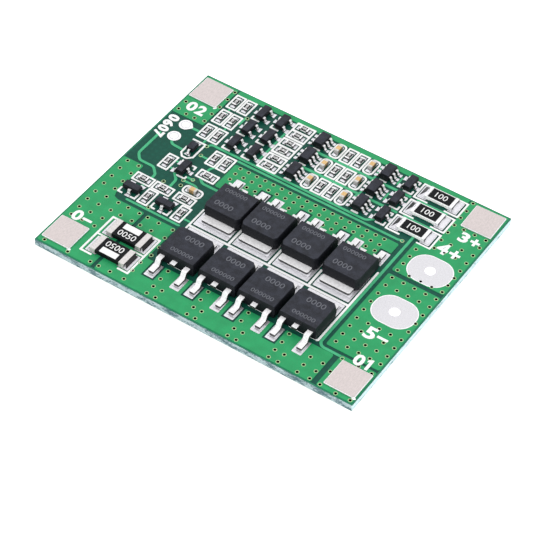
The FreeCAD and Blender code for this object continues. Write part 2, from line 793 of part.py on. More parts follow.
def make_small_parts():
    kinds = (("resistor", resistor_places()), ("capacitor", capacitor_places()))
    for kind, places in kinds:
        bodies = []
        terminals = []
        height = f"{kind}_height"
        offset = length_of("small_part_length / 2 - small_part_terminal / 2")
        for number, (x, y, turn) in enumerate(places, start=1):
            name = f"small_{kind}_{number}"
            place = at(x, y, length_of(BOARD_TOP), turn)
            bodies.append(block(f"{name}_ceramic", "small_part_length - 2 * small_part_terminal",
                                "small_part_width", height, place))
            for side in (-1, 1):
                terminals.append(block(f"{name}_end_{side + 1}", "small_part_terminal",
                                       "small_part_width", height, place, (side * offset, 0)))
        node(gather(f"small_{kind}_bodies", bodies), f"chip_{kind}_bodies")
        node(gather(f"small_{kind}_ends", terminals), f"chip_{kind}_terminals")


# Copper under the solder mask: pours that carry the current, and the main tracks

def rounded_path(corners, bend):
    """Join corners with straight lines and a tangent arc at each inner corner."""
    points = [Vector(x, y, 0) for x, y in corners]
    edges = []
    start = points[0]
    for before, corner, after in zip(points, points[1:], points[2:]):
        into = (corner - before).normalize()
        out = (after - corner).normalize()
        turn = into.getAngle(out)
        room = min((corner - before).Length, (after - corner).Length) / 2
        radius = min(bend, room / math.tan(turn / 2))
        reach = radius * math.tan(turn / 2)
        arc_start = corner - into * reach
        arc_end = corner + out * reach
        middle = (out - into).normalize() * (radius / math.cos(turn / 2) - radius) + corner
        edges.append(Part.LineSegment(start, arc_start).toShape())
        edges.append(Part.Arc(arc_start, middle, arc_end).toShape())
        start = arc_end
    edges.append(Part.LineSegment(start, points[-1]).toShape())
    return Part.Wire(edges)


def make_track(name, corners):
    """A flat copper track along a path: its square section swept round the bends."""
    half_width = length_of("track_width / 2")
    height = length_of("copper_thickness")
    path = rounded_path(corners, length_of("track_bend"))
    start = Vector(*corners[0], 0)
    along = (Vector(*corners[1], 0) - start).normalize()
    side = Vector(-along.y, along.x, 0) * half_width
    rise = Vector(0, 0, height)
    section = Part.makePolygon([start - side, start + side, start + side + rise, start - side + rise,
                                start - side])
    track = doc.addObject("Part::Feature", name)
    track.Shape = path.makePipeShell([section], True, True)
    track.Placement = at(0, 0, length_of(BOARD_TOP))
    return track


def make_copper(openings):
    """Pours and tracks in one layer, open where a pad or an isolation gap lies."""
    corner = "ground_pour_corner"
    plus_bottom = up("plus_pour_bottom_y")
    sense_left = across("sense_pour_left_x")
    sense_right = across("sense_pour_right_x")
    sense_step_x = across("sense_pour_step_x")
    sense_step_y = up("sense_pour_step_y")
    sense_top = up("sense_pour_top_y")
    ground_right = across("ground_pour_right_x")
    strip_x = across("ground_pour_strip_x")
    strip_top = up("ground_pour_strip_top_y")
    pours = {
        "battery_pour": span(LEFT_EDGE, f"{LEFT_EDGE} + battery_pour_width",
                             f"{TOP_EDGE} - battery_pour_height", TOP_EDGE),
        "plus_pour": span(f"{RIGHT_EDGE} - plus_pour_width", RIGHT_EDGE, plus_bottom, TOP_EDGE),
        "minus_pour": span(f"{RIGHT_EDGE} - plus_pour_width", RIGHT_EDGE, up("minus_pour_bottom_y"),
                           f"{plus_bottom} - pour_gap"),
        "first_cell_pour": span(f"{RIGHT_EDGE} - first_cell_pour_width", RIGHT_EDGE, BOTTOM_EDGE,
                                up("first_cell_pour_top_y")),
        "source_pour": span(across("source_pour_left_x"), across("source_pour_right_x"),
                            up("source_pour_bottom_y"), up("source_pour_top_y")),
        "sense_pour": [
            (sense_left, BOTTOM_EDGE),
            (sense_right, BOTTOM_EDGE),
            (sense_right, sense_step_y),
            (sense_step_x, sense_step_y),
            (sense_step_x, sense_top),
            (sense_left, sense_top),
        ],
        "ground_pour": [
            (LEFT_EDGE, BOTTOM_EDGE),
            (ground_right, BOTTOM_EDGE),
            (ground_right, sense_top),
            (f"{strip_x} + {corner}", sense_top),
            (strip_x, f"{sense_top} + {corner}"),
            (strip_x, strip_top),
            (LEFT_EDGE, strip_top),
        ],
    }
    level = at(0, 0, length_of(BOARD_TOP))
    pieces = [prism(name, outline(f"{name}_plan", corners), "copper_thickness", level)
              for name, corners in pours.items()]
    pieces += [make_track(name, corners) for name, corners in TRACKS.items()]
    copper = fuse("copper_layer", pieces)
    return node(cut("copper_open", copper, gather("copper_openings", openings)), "masked_copper")


# Printed legend: outlines and dividing lines in white ink

def bar(name, x_low, x_high, y_low, y_high, base, height):
    """A straight printed line between four edges."""
    return block(name, str(x_high - x_low), str(y_high - y_low), height,
                 at((x_low + x_high) / 2, (y_low + y_high) / 2, base))


def make_legend(pads, copper):
    """Lines of ink on the mask, left out over the pads and lying on top of the copper."""
    on_laminate = length_of(BOARD_TOP)
    inner = ("outline_length - 2 * legend_line", "outline_width - 2 * legend_line")
    square = outline("SquareOutline", rectangle("outline_length", "outline_width"), rectangle(*inner))
    rounded = outline("RoundedOutline", clipped("outline_length", "outline_width", "outline_corner"),
                      rectangle(*inner))
    deep = "copper_thickness + legend_thickness"
    lines = []
    for sketch, places in ((square, resistor_places()), (rounded, capacitor_places())):
        for number, (x, y, turn) in enumerate(places, start=1):
            lines.append(prism(f"{sketch.Name}_{number}", sketch, deep, at(x, y, on_laminate, turn)))

    # A line between neighbouring power transistors, one along the rows and one at their end
    pitch = length_of(MOSFET_PITCH)
    half_line = length_of("legend_line / 2")
    row_line_y = length_of(up("(mosfet_upper_y + mosfet_lower_y) / 2"))
    left_x = length_of(MOSFET_ROWS_LEFT)
    right_x = left_x + 4 * pitch
    for step in range(4):
        x = left_x + step * pitch
        lines.append(bar(f"mosfet_divider_{step}", x - half_line, x + half_line,
                         row_line_y + half_line, row_line_y + length_of("divider_length"), on_laminate, deep))
    lines.append(bar("mosfet_row_line", left_x - half_line, right_x + half_line,
                     row_line_y - half_line, row_line_y + half_line, on_laminate, deep))
    lines.append(bar("mosfet_end_line_top", right_x - half_line, right_x + half_line,
                     row_line_y + half_line, row_line_y + length_of("end_line_length"), on_laminate, deep))
    lines.append(bar("mosfet_end_line_low", right_x - half_line, right_x + half_line,
                     row_line_y - length_of("end_line_length"), row_line_y - half_line, on_laminate, deep))
    under = gather("legend_openings", pads + [copper])
    return node(cut("legend_open", gather("legend_lines", lines), under), "printed_legend")


# Pads of bare tinned copper

make_circuit_board()
for pad_name, pad_centre in POWER_PADS.items():
    make_power_pad(pad_name, pad_centre)
for pad_name, pad_centre in SENSE_PADS.items():
    make_sense_pad(pad_name, pad_centre, teardrop=pad_name == "s1")
make_weld_tabs()
mosfet_pads, gate_clearances = make_mosfets()
part_pads = mosfet_pads + make_shunts_and_balance_resistors() + make_small_mouldings()
make_small_parts()
tab_pad_size = "weld_tab_size + 2 * weld_tab_pad_border"
part_pads += [block(f"{name}_tab_pad", tab_pad_size, tab_pad_size, "copper_thickness",
                    at(x, y, length_of(BOARD_TOP))) for name, (x, y) in WELD_TABS.items()]
node(gather("tinned_pads", part_pads), "solder_pads")
copper_layer = make_copper(part_pads + gate_clearances + lands)
make_legend(part_pads + lands, copper_layer)
doc.recompute()

# Every object has to be sound before anything is written

for item in doc.Objects:
    if "Invalid" in item.State or "Error" in item.State:
        raise RuntimeError(f"{item.Name} failed: {item.State}")
for item in nodes:
    if item.Shape.isNull() or not item.Shape.isValid() or not item.Shape.Solids:
        raise RuntimeError(f"{item.Label} has no valid solid")

os.makedirs("parts", exist_ok=True)
for item in nodes:
    item.Shape.exportStep(f"parts/{item.Label}.step")
print(f"{len(nodes)} sub-parts written")
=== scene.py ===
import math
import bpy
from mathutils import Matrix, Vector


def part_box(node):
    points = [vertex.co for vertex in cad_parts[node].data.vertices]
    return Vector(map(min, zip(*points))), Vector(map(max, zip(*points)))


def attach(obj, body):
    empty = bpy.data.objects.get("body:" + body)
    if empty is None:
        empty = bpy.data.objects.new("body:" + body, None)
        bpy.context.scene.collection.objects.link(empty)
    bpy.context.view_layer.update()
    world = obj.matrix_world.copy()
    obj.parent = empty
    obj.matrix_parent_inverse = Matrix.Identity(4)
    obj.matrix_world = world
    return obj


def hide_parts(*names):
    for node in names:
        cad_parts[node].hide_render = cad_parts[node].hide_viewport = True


bl_info = {
    "name": "Battery management board",
    "version": (1, 0, 0),
    "blender": (4, 5, 0),
    "location": "3D View > Sidebar > Battery board",
    "description": "Finishes the battery management board around its packed frame",
    "category": "Object",
}

import bmesh
import bpy
from mathutils import Matrix, Vector

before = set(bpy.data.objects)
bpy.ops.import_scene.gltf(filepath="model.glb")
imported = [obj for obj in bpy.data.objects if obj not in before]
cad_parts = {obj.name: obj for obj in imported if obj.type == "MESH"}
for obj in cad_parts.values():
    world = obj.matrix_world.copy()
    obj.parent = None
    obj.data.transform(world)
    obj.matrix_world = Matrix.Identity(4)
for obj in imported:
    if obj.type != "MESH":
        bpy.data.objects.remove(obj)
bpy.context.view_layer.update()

# Pieces are modelled in millimetres and brought to metres when they are finished
MM = 0.001

# Heights over the board's underside
BOARD_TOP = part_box("circuit_board")[1].z / MM
COPPER_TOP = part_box("masked_copper")[1].z / MM
PAD_TOP = COPPER_TOP + 0.015
INK_TOP = COPPER_TOP + 0.02
UNDER_COPPER = 0.05
# What lies on another surface is sunk into it by this much
SUNK = 0.02
HALF_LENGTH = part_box("circuit_board")[1].x / MM
HALF_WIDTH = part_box("circuit_board")[1].y / MM
# The sawn board runs a little past its nominal size on two sides
LEFT_EDGE = -HALF_LENGTH - 0.25
FAR_EDGE = HALF_WIDTH + 0.15


# Places on the board, in millimetres from its centre, with a turn in degrees

ROWS = (19.75, 15.68, 11.61)
SMALL_TRANSISTOR_COLUMNS = (-15.5, -11.85)
LAST_TRANSISTOR_COLUMN = 11.75
CHIP_COLUMNS = (-4.45, 7.75)
DIVIDER_COLUMN = -8.4
# Distance between neighbouring leads of the small packages
LEAD_PITCH = 0.95
MOSFET_PITCH = 7.167
# The power transistors' pads stand in a regular grid, and the parts themselves a little off it
MOSFET_GRID = [(-7.6 + MOSFET_PITCH * k, y, turn) for y, turn in ((-1.0, 0), (-12.43, 180)) for k in range(4)]
MOSFET_PLACES = [(x, -0.95, 0) for x in (-7.4, -0.633, 6.534, 13.801)]
MOSFET_PLACES += [(x, -12.25, 180) for x in (-7.6, -0.233, 6.734, 13.901)]
SHUNTS = [(-16.9, -14.0, 0), (-16.9, -18.15, 180)]
BALANCE_RESISTORS = [(17.2, y, 0) for y in ROWS]
# The balance resistors sit a little off the middle of their pads
RAISED_RESISTORS = [(17.22, y + 0.14, 0) for y in ROWS]
MONITOR_CHIPS = [(x, y, 90) for x in CHIP_COLUMNS for y in ROWS]
TRANSISTORS = [(x, y, 90) for x in SMALL_TRANSISTOR_COLUMNS for y in ROWS]
TRANSISTORS += [(LAST_TRANSISTOR_COLUMN, y, 270) for y in ROWS]
TRANSISTORS += [(-18.6, 2.4, 270), (-22.45, -5.7, 180), (-16.35, -5.7, 180)]
DIODE = (-20.2, 7.0, 0)
RESISTORS = [(x, y, 90) for x in (-20.7, -18.65, 0.58, 2.63) for y in ROWS]
DIVIDERS = [(DIVIDER_COLUMN, y + side * 0.98, 0) for y in ROWS for side in (1, -1)]
SINGLE_RESISTORS = [
    (-21.7, 2.55, 90), (-16.05, 7.2, 90), (-14.0, 7.2, 90), (-19.65, -5.6, 90), (-13.45, -5.6, 90),
    (-14.8, 3.32, 0), (-14.75, -2.8, 0), (-22.47, -2.8, 0), (-18.82, -2.8, 0),
]
CHIP_RESISTORS = RESISTORS + DIVIDERS + SINGLE_RESISTORS
CAPACITORS = [(x, y, 90) for x in (-1.5, 4.7) for y in ROWS] + [(-14.7, -0.75, 0)]
WELD_TABS = {
    "b_minus": (-25.2, -18.8, 0.0), "b1": (25.02, -18.82, 0.0),
    "b2": (-25.25, 19.3, -0.8), "b_plus": (24.97, 19.33, 1.2),
}
POWER_PADS = {"p_plus": (23.57, 6.02), "p_minus": (23.57, -4.0)}
SENSE_PADS = {"s1": (-24.3, 10.92), "s2": (-24.3, 7.78)}

# Copper pours by their corners, and tracks by their width and corners
POURS = {
    "battery": [(-28.0, 12.4), (-22.0, 12.4), (-22.0, 22.4), (-28.0, 22.4)],
    "plus": [(18.7, 3.0), (27.7, 3.0), (27.7, 22.4), (21.15, 22.4), (21.15, 9.9), (18.7, 9.9)],
    "minus": [(18.7, -14.9), (27.7, -14.9), (27.7, 2.2), (18.7, 2.2)],
    "first_cell": [(21.7, -22.2), (27.7, -22.2), (27.7, -15.4), (21.7, -15.4)],
    "far_side": [(-21.7, 21.48), (20.9, 21.48), (20.9, 22.45), (-21.7, 22.45)],
    "source": [(-12.8, 2.3), (16.9, 2.3), (16.9, 8.1), (-12.8, 8.1)],
    "sense": [(-17.4, -22.2), (20.8, -22.2), (20.8, -16.0), (-12.2, -16.0), (-12.2, -8.6), (-17.4, -8.6)],
    "ground": [(-28.0, -22.2), (-18.05, -22.2), (-18.05, -8.6), (-23.1, -8.6), (-23.9, -8.3),
               (-24.2, -7.5), (-24.2, -0.35), (-28.0, -0.35)],
}
TRACKS = [
    (0.42, [(-18.6, 9.05), (-18.3, 9.55), (10.0, 9.55), (11.0, 10.4)]),
    (0.42, [(-12.8, 8.85), (16.2, 8.85), (16.8, 9.0)]),
    *[(0.5, [(-5.6, y), (10.6, y), (12.9, y)]) for y in (17.72, 13.65)],
    *[(0.45, [(14.4, y), (19.4, y)]) for y in (17.68, 13.6)],
    (0.45, [(17.87, 11.0), (17.87, -15.0), (18.5, -15.7), (22.0, -15.7)]),
    (0.45, [(-26.6, 7.2), (-26.6, 1.6), (-25.6, 0.37), (-22.9, 0.37), (-21.64, -0.9), (-21.64, -2.0)]),
    (0.4, [(-22.0, -7.78), (-12.3, -7.78)]),
    (0.45, [(-23.4, 10.92), (-21.6, 10.92)]),
    (0.45, [(-24.2, 7.0), (-23.6, 6.15), (-21.3, 6.05)]),
    (0.45, [(-19.6, 1.3), (-18.35, 0.0), (-18.25, -2.0)]),
    (0.45, [(-15.5, 2.4), (-14.6, 1.65), (-11.6, 1.65)]),
    (0.4, [(-17.2, 0.55), (-15.2, 0.6), (-14.4, 0.1)]),
    (0.4, [(-18.2, 6.55), (-16.9, 6.55)]),
    (0.4, [(-15.05, 5.6), (-15.5, 4.9), (-15.5, 4.2)]),
    (0.4, [(-17.2, 1.45), (-16.2, 1.45)]),
    (0.35, [(-12.7, -6.2), (-11.4, -6.2)]),
    (0.35, [(-19.7, 9.9), (-19.7, 9.2)]),
    *[(0.35, [(-20.8, y), (-20.2, y)]) for y in (3.4, 1.75)],
    (0.35, [(-21.8, -3.7), (-21.8, -4.3)]),
    (0.35, [(-10.45, 18.6), (-10.45, 11.0)]),
    (0.35, [(5.95, 20.9), (6.25, 18.2), (6.25, 16.9)]),
    (0.35, [(5.95, 12.9), (6.25, 14.1), (6.25, 14.6)]),
    *[(width, [(x, high), (x, low)]) for width, x, high, low in (
        (0.35, 9.9, 20.5, 19.0), (0.35, 9.9, 16.4, 14.9), (0.35, -17.5, 17.7, 15.9),
        (0.3, -20.7, 18.2, 17.1), (0.3, -18.7, 14.2, 13.1))],
]


def crossings(columns, rows):
    """Every crossing of some columns and rows."""
    return [(x, y) for x in columns for y in rows]


# Plated holes that join the pours of the two sides
VIAS = [
    *crossings([-11.65 + 1.54 * k for k in range(18)], (7.7, 6.3)),
    *crossings((-11.65, -8.55, -7.0, -0.8, 5.35, 6.9, 13.0, 14.6), (4.85,)),
    *crossings((21.6,), (22.0, 20.0, 18.25, 16.35, 14.45, 12.5, 10.45)),
    *crossings((23.3, 25.2, 27.15), (16.3, 12.45, 10.5)),
    (27.15, 14.4), (19.5, 8.65), (27.2, 8.6), (19.5, 6.85), (27.2, 6.85), (19.5, 5.05), (27.2, 5.05),
    *crossings((19.5, 21.55, 23.5, 25.4, 27.2), (3.4,)),
    *crossings((19.65, 21.6, 23.5, 25.4, 27.2), (1.65, -0.2, -8.1, -10.0, -11.9, -13.7)),
    *crossings((19.6, 27.25), (-2.2, -4.2, -6.15)),
    (22.15, -15.95), (24.85, -15.85), (27.1, -15.95), (22.1, -19.0), (22.2, -21.85), (24.9, -21.95),
    (27.25, -21.85),
    *crossings((18.3, 20.4), (-18.3, -20.1, -21.75)),
    *crossings((-8.05, -0.85, 6.3, 13.4), (-16.4, -18.3, -20.1, -21.75)),
    *crossings((-6.5, 0.6, 7.8, 15.0), (-20.1, -21.75)),
    *crossings((-12.45,), (-9.1, -11.15, -17.3, -19.3, -21.4)), (-12.0, -13.2), (-12.0, -15.2),
    *crossings((-26.9,), (-0.9, -2.9, -5.0, -7.0, -9.15, -11.15, -13.2, -15.2, -21.75)),
    *crossings((-24.8,), (-0.9, -2.9, -5.0, -7.0, -9.15, -11.15, -13.2, -15.2)),
    *crossings((-22.55,), (-9.15, -11.1, -13.2, -15.2, -21.75)),
    *crossings((-20.7, -18.6, -17.05, -15.0), (-9.15, -11.1)),
    (-18.6, -21.45), (-17.05, -21.45), (-15.0, -21.4), (-22.3, 21.65), (-22.3, 19.6), (-22.3, 17.4),
    *crossings((-27.4, -22.4), (15.35, 13.35)), (-25.7, 13.0), (-24.1, 13.0),
    (-17.2, 17.7), (-18.75, 8.8), (-18.35, 6.6), (-16.2, 1.45), (-17.35, 0.55), (-17.05, -0.6),
    (-19.7, -1.4), (-18.25, -7.3), (16.9, 8.95), (-6.9, 11.65),
]


# Settings that a user may change


def linear(code):
    """Turn an sRGB hex colour into linear red, green and blue."""
    parts = [int(code[start:start + 2], 16) / 255 for start in (1, 3, 5)]
    return tuple(part / 12.92 if part <= 0.04045 else ((part + 0.055) / 1.055) ** 2.4 for part in parts)


def shade(code, name, description):
    """A colour setting with its sRGB default."""
    return bpy.props.FloatVectorProperty(
        name=name, description=description, subtype="COLOR", size=3, min=0.0, max=1.0, default=linear(code))


def size(millimetres, name, description):
    """A length setting with its default."""
    return bpy.props.FloatProperty(
        name=name, description=description, unit="LENGTH", min=0.0, precision=5, default=millimetres * MM)


class BoardSizes(bpy.types.PropertyGroup):
    via_ring: size(0.69, "Via ring", "Outer diameter of the ring round a plated hole")
    via_hole: size(0.48, "Via hole", "Diameter of the drilled hole inside the ring")
    ink_line: size(0.3, "Ink line", "Width of a printed line")
    tab_thickness: size(0.3, "Weld tab thickness", "Thickness of a nickel weld tab")
    board_corner: size(0.12, "Board corner", "Radius of the board's corners")


class PartSizes(bpy.types.PropertyGroup):
    mosfet_round: size(0.05, "Power transistor rounding", "Radius of the moulding's edges")
    lead_round: size(0.05, "Lead rounding", "Radius of a lead's stamped edges")
    small_round: size(0.06, "Small moulding rounding", "Radius of a small moulding's edges")
    solder_rise: size(0.16, "Solder rise", "Height that the solder climbs up a part's foot")


class Finishes(bpy.types.PropertyGroup):
    mask_on_copper: shade("#289E62", "Mask over copper", "Green solder mask where copper lies under it")
    mask_on_laminate: shade("#145244", "Mask over laminate", "Green solder mask over bare laminate")
    track: shade("#48B581", "Mask over tracks", "Green solder mask over a narrow track")
    edge: shade("#B6CCCF", "Cut edge", "Sawn edge of the glass-fibre laminate")
    ink: shade("#FFFFFF", "Ink", "White printed ink")
    tin: shade("#DAD9DF", "Tin", "Tin plate and solder")
    nickel: shade("#C9C0BF", "Nickel", "Rolled nickel strip")
    epoxy: shade("#2A2C35", "Epoxy", "Black moulded epoxy")
    capacitor: shade("#E3BC80", "Capacitor", "Fired ceramic of a small capacitor")


# Modelling by hand: outlines cut into plates, blocks, and copies


def select_only(*pieces):
    """Select these pieces alone, the first one active."""
    if bpy.context.mode != "OBJECT":
        bpy.ops.object.mode_set(mode="OBJECT")
    bpy.ops.object.select_all(action="DESELECT")
    for piece in pieces:
        piece.select_set(True)
    if pieces:
        bpy.context.view_layer.objects.active = pieces[0]


def pick(piece, kind, test):
    """Go into edit mode with the faces, edges or vertices that pass a test selected."""
    select_only(piece)
    bpy.ops.object.mode_set(mode="EDIT")
    bpy.ops.mesh.select_all(action="DESELECT")
    bpy.context.tool_settings.mesh_select_mode = (kind == "verts", kind == "edges", kind == "faces")
    mesh = bmesh.from_edit_mesh(piece.data)
    for item in getattr(mesh, kind):
        if test(item):
            item.select_set(True)
    mesh.select_flush_mode()
    bmesh.update_edit_mesh(piece.data)


def leave():
    """Go back to object mode."""
    bpy.ops.object.mode_set(mode="OBJECT")


def close_up(piece):
    """Merge a shell's loose seams and point its faces outwards."""
    pick(piece, "verts", lambda item: True)
    bpy.ops.mesh.remove_doubles(threshold=0.0005)
    bpy.ops.mesh.normals_make_consistent(inside=False)
    leave()


def plate(name, loops, low, high, bevel=0.0):
    """Cut a flat plate from closed outlines, between two heights."""
    outline = bpy.data.curves.new(name, "CURVE")
    outline.dimensions = "2D"
    outline.fill_mode = "BOTH"
    outline.extrude = (high - low) / 2 - bevel
    outline.bevel_depth = bevel
    outline.bevel_resolution = 1
    outline.offset = -bevel
    for loop in loops:
        spline = outline.splines.new("POLY")
        spline.points.add(len(loop) - 1)
        for point, (x, y) in zip(spline.points, loop):
            point.co = (x, y, 0, 1)
        spline.use_cyclic_u = True
    drawing = bpy.data.objects.new(name, outline)
    bpy.context.scene.collection.objects.link(drawing)
    select_only(drawing)
    bpy.ops.object.convert(target="MESH")
    piece = bpy.context.object
    close_up(piece)
    piece.data.transform(Matrix.Translation((0, 0, (low + high) / 2)))
    return piece


def cuboid(name, length, width, low, high, x=0.0):
    """Add a block standing between two heights."""
    select_only()
    bpy.ops.mesh.primitive_cube_add(size=1, location=(0, 0, 0))
    piece = bpy.context.object
    piece.name = name
    piece.data.transform(Matrix.Translation((x, 0, (low + high) / 2))
                         @ Matrix.Diagonal((length, width, high - low, 1)))
    return piece


def bevelled(piece, width, rings=2, angle=30.0):
    """Round a piece's sharp edges."""
    select_only(piece)
    rounding = piece.modifiers.new("Rounding", "BEVEL")
    rounding.width = width
    rounding.segments = rings
    rounding.limit_method = "ANGLE"
    rounding.angle_limit = math.radians(angle)
    bpy.ops.object.modifier_apply(modifier="Rounding")
    return piece


def cut_away(piece, tool, keep_tool=False):
    """Cut one piece out of another."""
    select_only(piece)
    cut = piece.modifiers.new("Cut", "BOOLEAN")
    cut.operation = "DIFFERENCE"
    cut.solver = "EXACT"
    cut.object = tool
    bpy.ops.object.modifier_apply(modifier="Cut")
    if not keep_tool:
        bpy.data.objects.remove(tool)


def taper(piece, height, along_x, along_y):
    """Draw in the corners at one height, as a mould's draft does."""
    pick(piece, "verts", lambda vertex: abs(vertex.co.z - height) < 0.001)
    bpy.ops.transform.resize(value=(along_x, along_y, 1), center_override=(0, 0, height))
    leave()


def split_at(piece, height):
    """Add an edge round a piece at one height."""
    pick(piece, "faces", lambda face: True)
    bpy.ops.mesh.bisect(plane_co=(0, 0, height), plane_no=(0, 0, 1))
    leave()


def painted(piece, material):
    """Cover a whole piece with one material."""
    piece.data.materials.clear()
    piece.data.materials.append(material)
    return piece


def placed(piece, x, y, turn=0.0, z=0.0):
    """Move a piece's mesh to its place and turn it about the vertical."""
    piece.data.transform(Matrix.Translation((x, y, z)) @ Matrix.Rotation(math.radians(turn), 4, "Z"))
    return piece


def copied(piece, name, x, y, turn=0.0, z=0.0):
    """Copy a piece, with a mesh of its own, to a place."""
    copy = piece.copy()
    copy.data = piece.data.copy()
    copy.name = name
    bpy.context.scene.collection.objects.link(copy)
    return placed(copy, x, y, turn, z)


def joined(pieces, name):
    """Join pieces into one."""
    select_only(*pieces)
    bpy.ops.object.join()
    piece = bpy.context.object
    piece.name = name
    return piece


def spread(model, places, name):
    """Copy a model to many places as one piece."""
    pieces = [copied(model, f"{name}_{index}", *place) for index, place in enumerate(places)]
    bpy.data.objects.remove(model)
    return joined(pieces, name)


def upright(piece):
    """Stand a plate on its edge: its outline's x runs along y, and its outline's y goes up."""
    piece.data.transform(Matrix(((0, 0, 1, 0), (1, 0, 0, 0), (0, 1, 0, 0), (0, 0, 0, 1))))
    return piece


def finished(piece, slot, *replaced, smooth=35.0):
    """Bring a piece to metres and tie it to the board."""
    select_only(piece)
    bpy.ops.object.shade_smooth_by_angle(angle=math.radians(smooth))
    # Large flat faces keep their own direction beside small rounded edges
    weights = piece.modifiers.new("Weights", "WEIGHTED_NORMAL")
    weights.keep_sharp = True
    bpy.ops.object.modifier_apply(modifier="Weights")
    piece.data.transform(Matrix.Scale(MM, 4))
    piece.matrix_world = Matrix.Identity(4)
    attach(piece, "root")
    if replaced:
        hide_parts(*replaced)


# Outlines


def box_loop(x, y, length, width):
    """Corners of a rectangle about a centre."""
    return [(x - length / 2, y - width / 2), (x + length / 2, y - width / 2),
            (x + length / 2, y + width / 2), (x - length / 2, y + width / 2)]


def span_loop(x_low, x_high, y_low, y_high):
    """Corners of a rectangle between four edges."""
    return [(x_low, y_low), (x_high, y_low), (x_high, y_high), (x_low, y_high)]


def ring_loop(x, y, radius, count=24):
    """Points round a circle."""
    return [(x + radius * math.cos(math.tau * k / count), y + radius * math.sin(math.tau * k / count))
            for k in range(count)]


def arc_points(before, corner, after, radius, steps):
    """Points that round one corner of a path."""
    corner = Vector(corner)
    into = corner - Vector(before)
    out = Vector(after) - corner
    turn = abs(into.angle(out))
    if turn < 0.01:
        return [tuple(corner)]
    reach = min(radius * math.tan(turn / 2), into.length * 0.49, out.length * 0.49)
    start = corner - into.normalized() * reach
    end = corner + out.normalized() * reach
    middle = math.cos(turn / 2)
    points = []
    for step in range(steps + 1):
        t = step / steps
        weights = ((1 - t) ** 2, 2 * t * (1 - t) * middle, t ** 2)
        point = (start * weights[0] + corner * weights[1] + end * weights[2]) / sum(weights)
        points.append(tuple(point))
    return points


def rounded(corners, radius, steps=4):
    """Round the corners of a closed outline."""
    count = len(corners)
    loop = []
    for index, corner in enumerate(corners):
        loop += arc_points(corners[index - 1], corner, corners[(index + 1) % count], radius, steps)
    return loop


def ribbon(corners, width):
    """Outline of a track of even width along a path, with its bends rounded."""
    path = [tuple(corners[0])]
    for before, corner, after in zip(corners, corners[1:], corners[2:]):
        path += arc_points(before, corner, after, 1.0, 5)
    path.append(tuple(corners[-1]))
    points = [Vector(point) for point in path]
    half = width / 2
    left, right = [], []
    for index, point in enumerate(points):
        before = points[max(index - 1, 0)]
        after = points[min(index + 1, len(points) - 1)]
        along = (after - before).normalized()
        side = Vector((-along.y, along.x)) * half
        left.append(tuple(point + side))
        right.append(tuple(point - side))
    caps = []
    for point, neighbour in ((points[-1], points[-2]), (points[0], points[1])):
        away = (point - neighbour).normalized()
        start = math.atan2(away.y, away.x) - math.pi / 2
        caps.append([(point.x + half * math.cos(start + math.pi * k / 6),
                      point.y + half * math.sin(start + math.pi * k / 6)) for k in range(1, 6)])
    return right + caps[0] + left[::-1] + caps[1]


def strip(corners, width, overrun):
    """Outline of a printed line along a path with plain corners, run on a little past its ends."""
    points = [Vector(point) for point in corners]
    points[0] -= (points[1] - points[0]).normalized() * overrun
    points[-1] += (points[-1] - points[-2]).normalized() * overrun
    runs = [after - before for before, after in zip(points, points[1:])]
    sides = [Vector((-run.y, run.x)).normalized() for run in runs]
    left, right = [], []
    for index, point in enumerate(points):
        first = sides[max(index - 1, 0)]
        second = sides[min(index, len(sides) - 1)]
        reach = (first + second) / (1 + first.dot(second)) * width / 2
        left.append(tuple(point + reach))
        right.append(tuple(point - reach))
    return rounded(right + left[::-1], 0.1, 2)


# Materials


def add(tree, kind, fills=None, **settings):
    """Add a node, set its properties, and fill or link its sockets."""
    node = tree.nodes.new(kind)
    for name, value in settings.items():
        setattr(node, name, value)
    for key, value in (fills or {}).items():
        if isinstance(value, bpy.types.NodeSocket):
            tree.links.new(value, node.inputs[key])
        else:
            node.inputs[key].default_value = value
    return node


def new_material(name, colour, roughness, **more):
    """Start a material: its node tree, its shader and the coordinates of its piece."""
    material = bpy.data.materials.new(name)
    material.use_nodes = True
    tree = material.node_tree
    shader = tree.nodes["Principled BSDF"]
    shader.inputs["Base Color"].default_value = (*colour, 1)
    shader.inputs["Roughness"].default_value = roughness
    for socket, value in more.items():
        shader.inputs[socket.replace("_", " ")].default_value = value
    place = add(tree, "ShaderNodeTexCoord").outputs["Object"]
    return material, tree, shader, place


def reckoned(tree, operation, *values):
    """The result of a sum on numbers."""
    return add(tree, "ShaderNodeMath", dict(enumerate(values)), operation=operation).outputs[0]


def mixed(tree, factor, first, second, **settings):
    """Mix two colours by a factor."""
    node = add(tree, "ShaderNodeMix", {0: factor, 6: first, 7: second}, data_type="RGBA", **settings)
    return node.outputs[2]


def stretched(tree, value, low, high, to_low=0.0, to_high=1.0):
    """Stretch part of a value's range over another range."""
    node = add(tree, "ShaderNodeMapRange", {"Value": value, "From Min": low, "From Max": high,
                                            "To Min": to_low, "To Max": to_high})
    return node.outputs["Result"]


def squeezed(tree, place, *scale):
    """Coordinates squeezed along one axis."""
    return add(tree, "ShaderNodeMapping", {"Vector": place, "Scale": scale}).outputs["Vector"]


def grain(tree, place, millimetres, detail=2.0):
    """Noise whose blotches have a real size."""
    fills = {"Vector": place, "Scale": 1 / (millimetres * MM), "Detail": detail}
    return add(tree, "ShaderNodeTexNoise", fills).outputs["Fac"]


def clouds(tree, place, millimetres, detail=3.0):
    """Noise with its middle part stretched over the whole range."""
    return stretched(tree, grain(tree, place, millimetres, detail), 0.3, 0.7)


def tinted(tree, factor, colour, low, high):
    """Vary a colour's brightness between two shares of it."""
    dark = (*[part * low for part in colour], 1)
    light = (*[min(part * high, 1.0) for part in colour], 1)
    return mixed(tree, factor, dark, light)


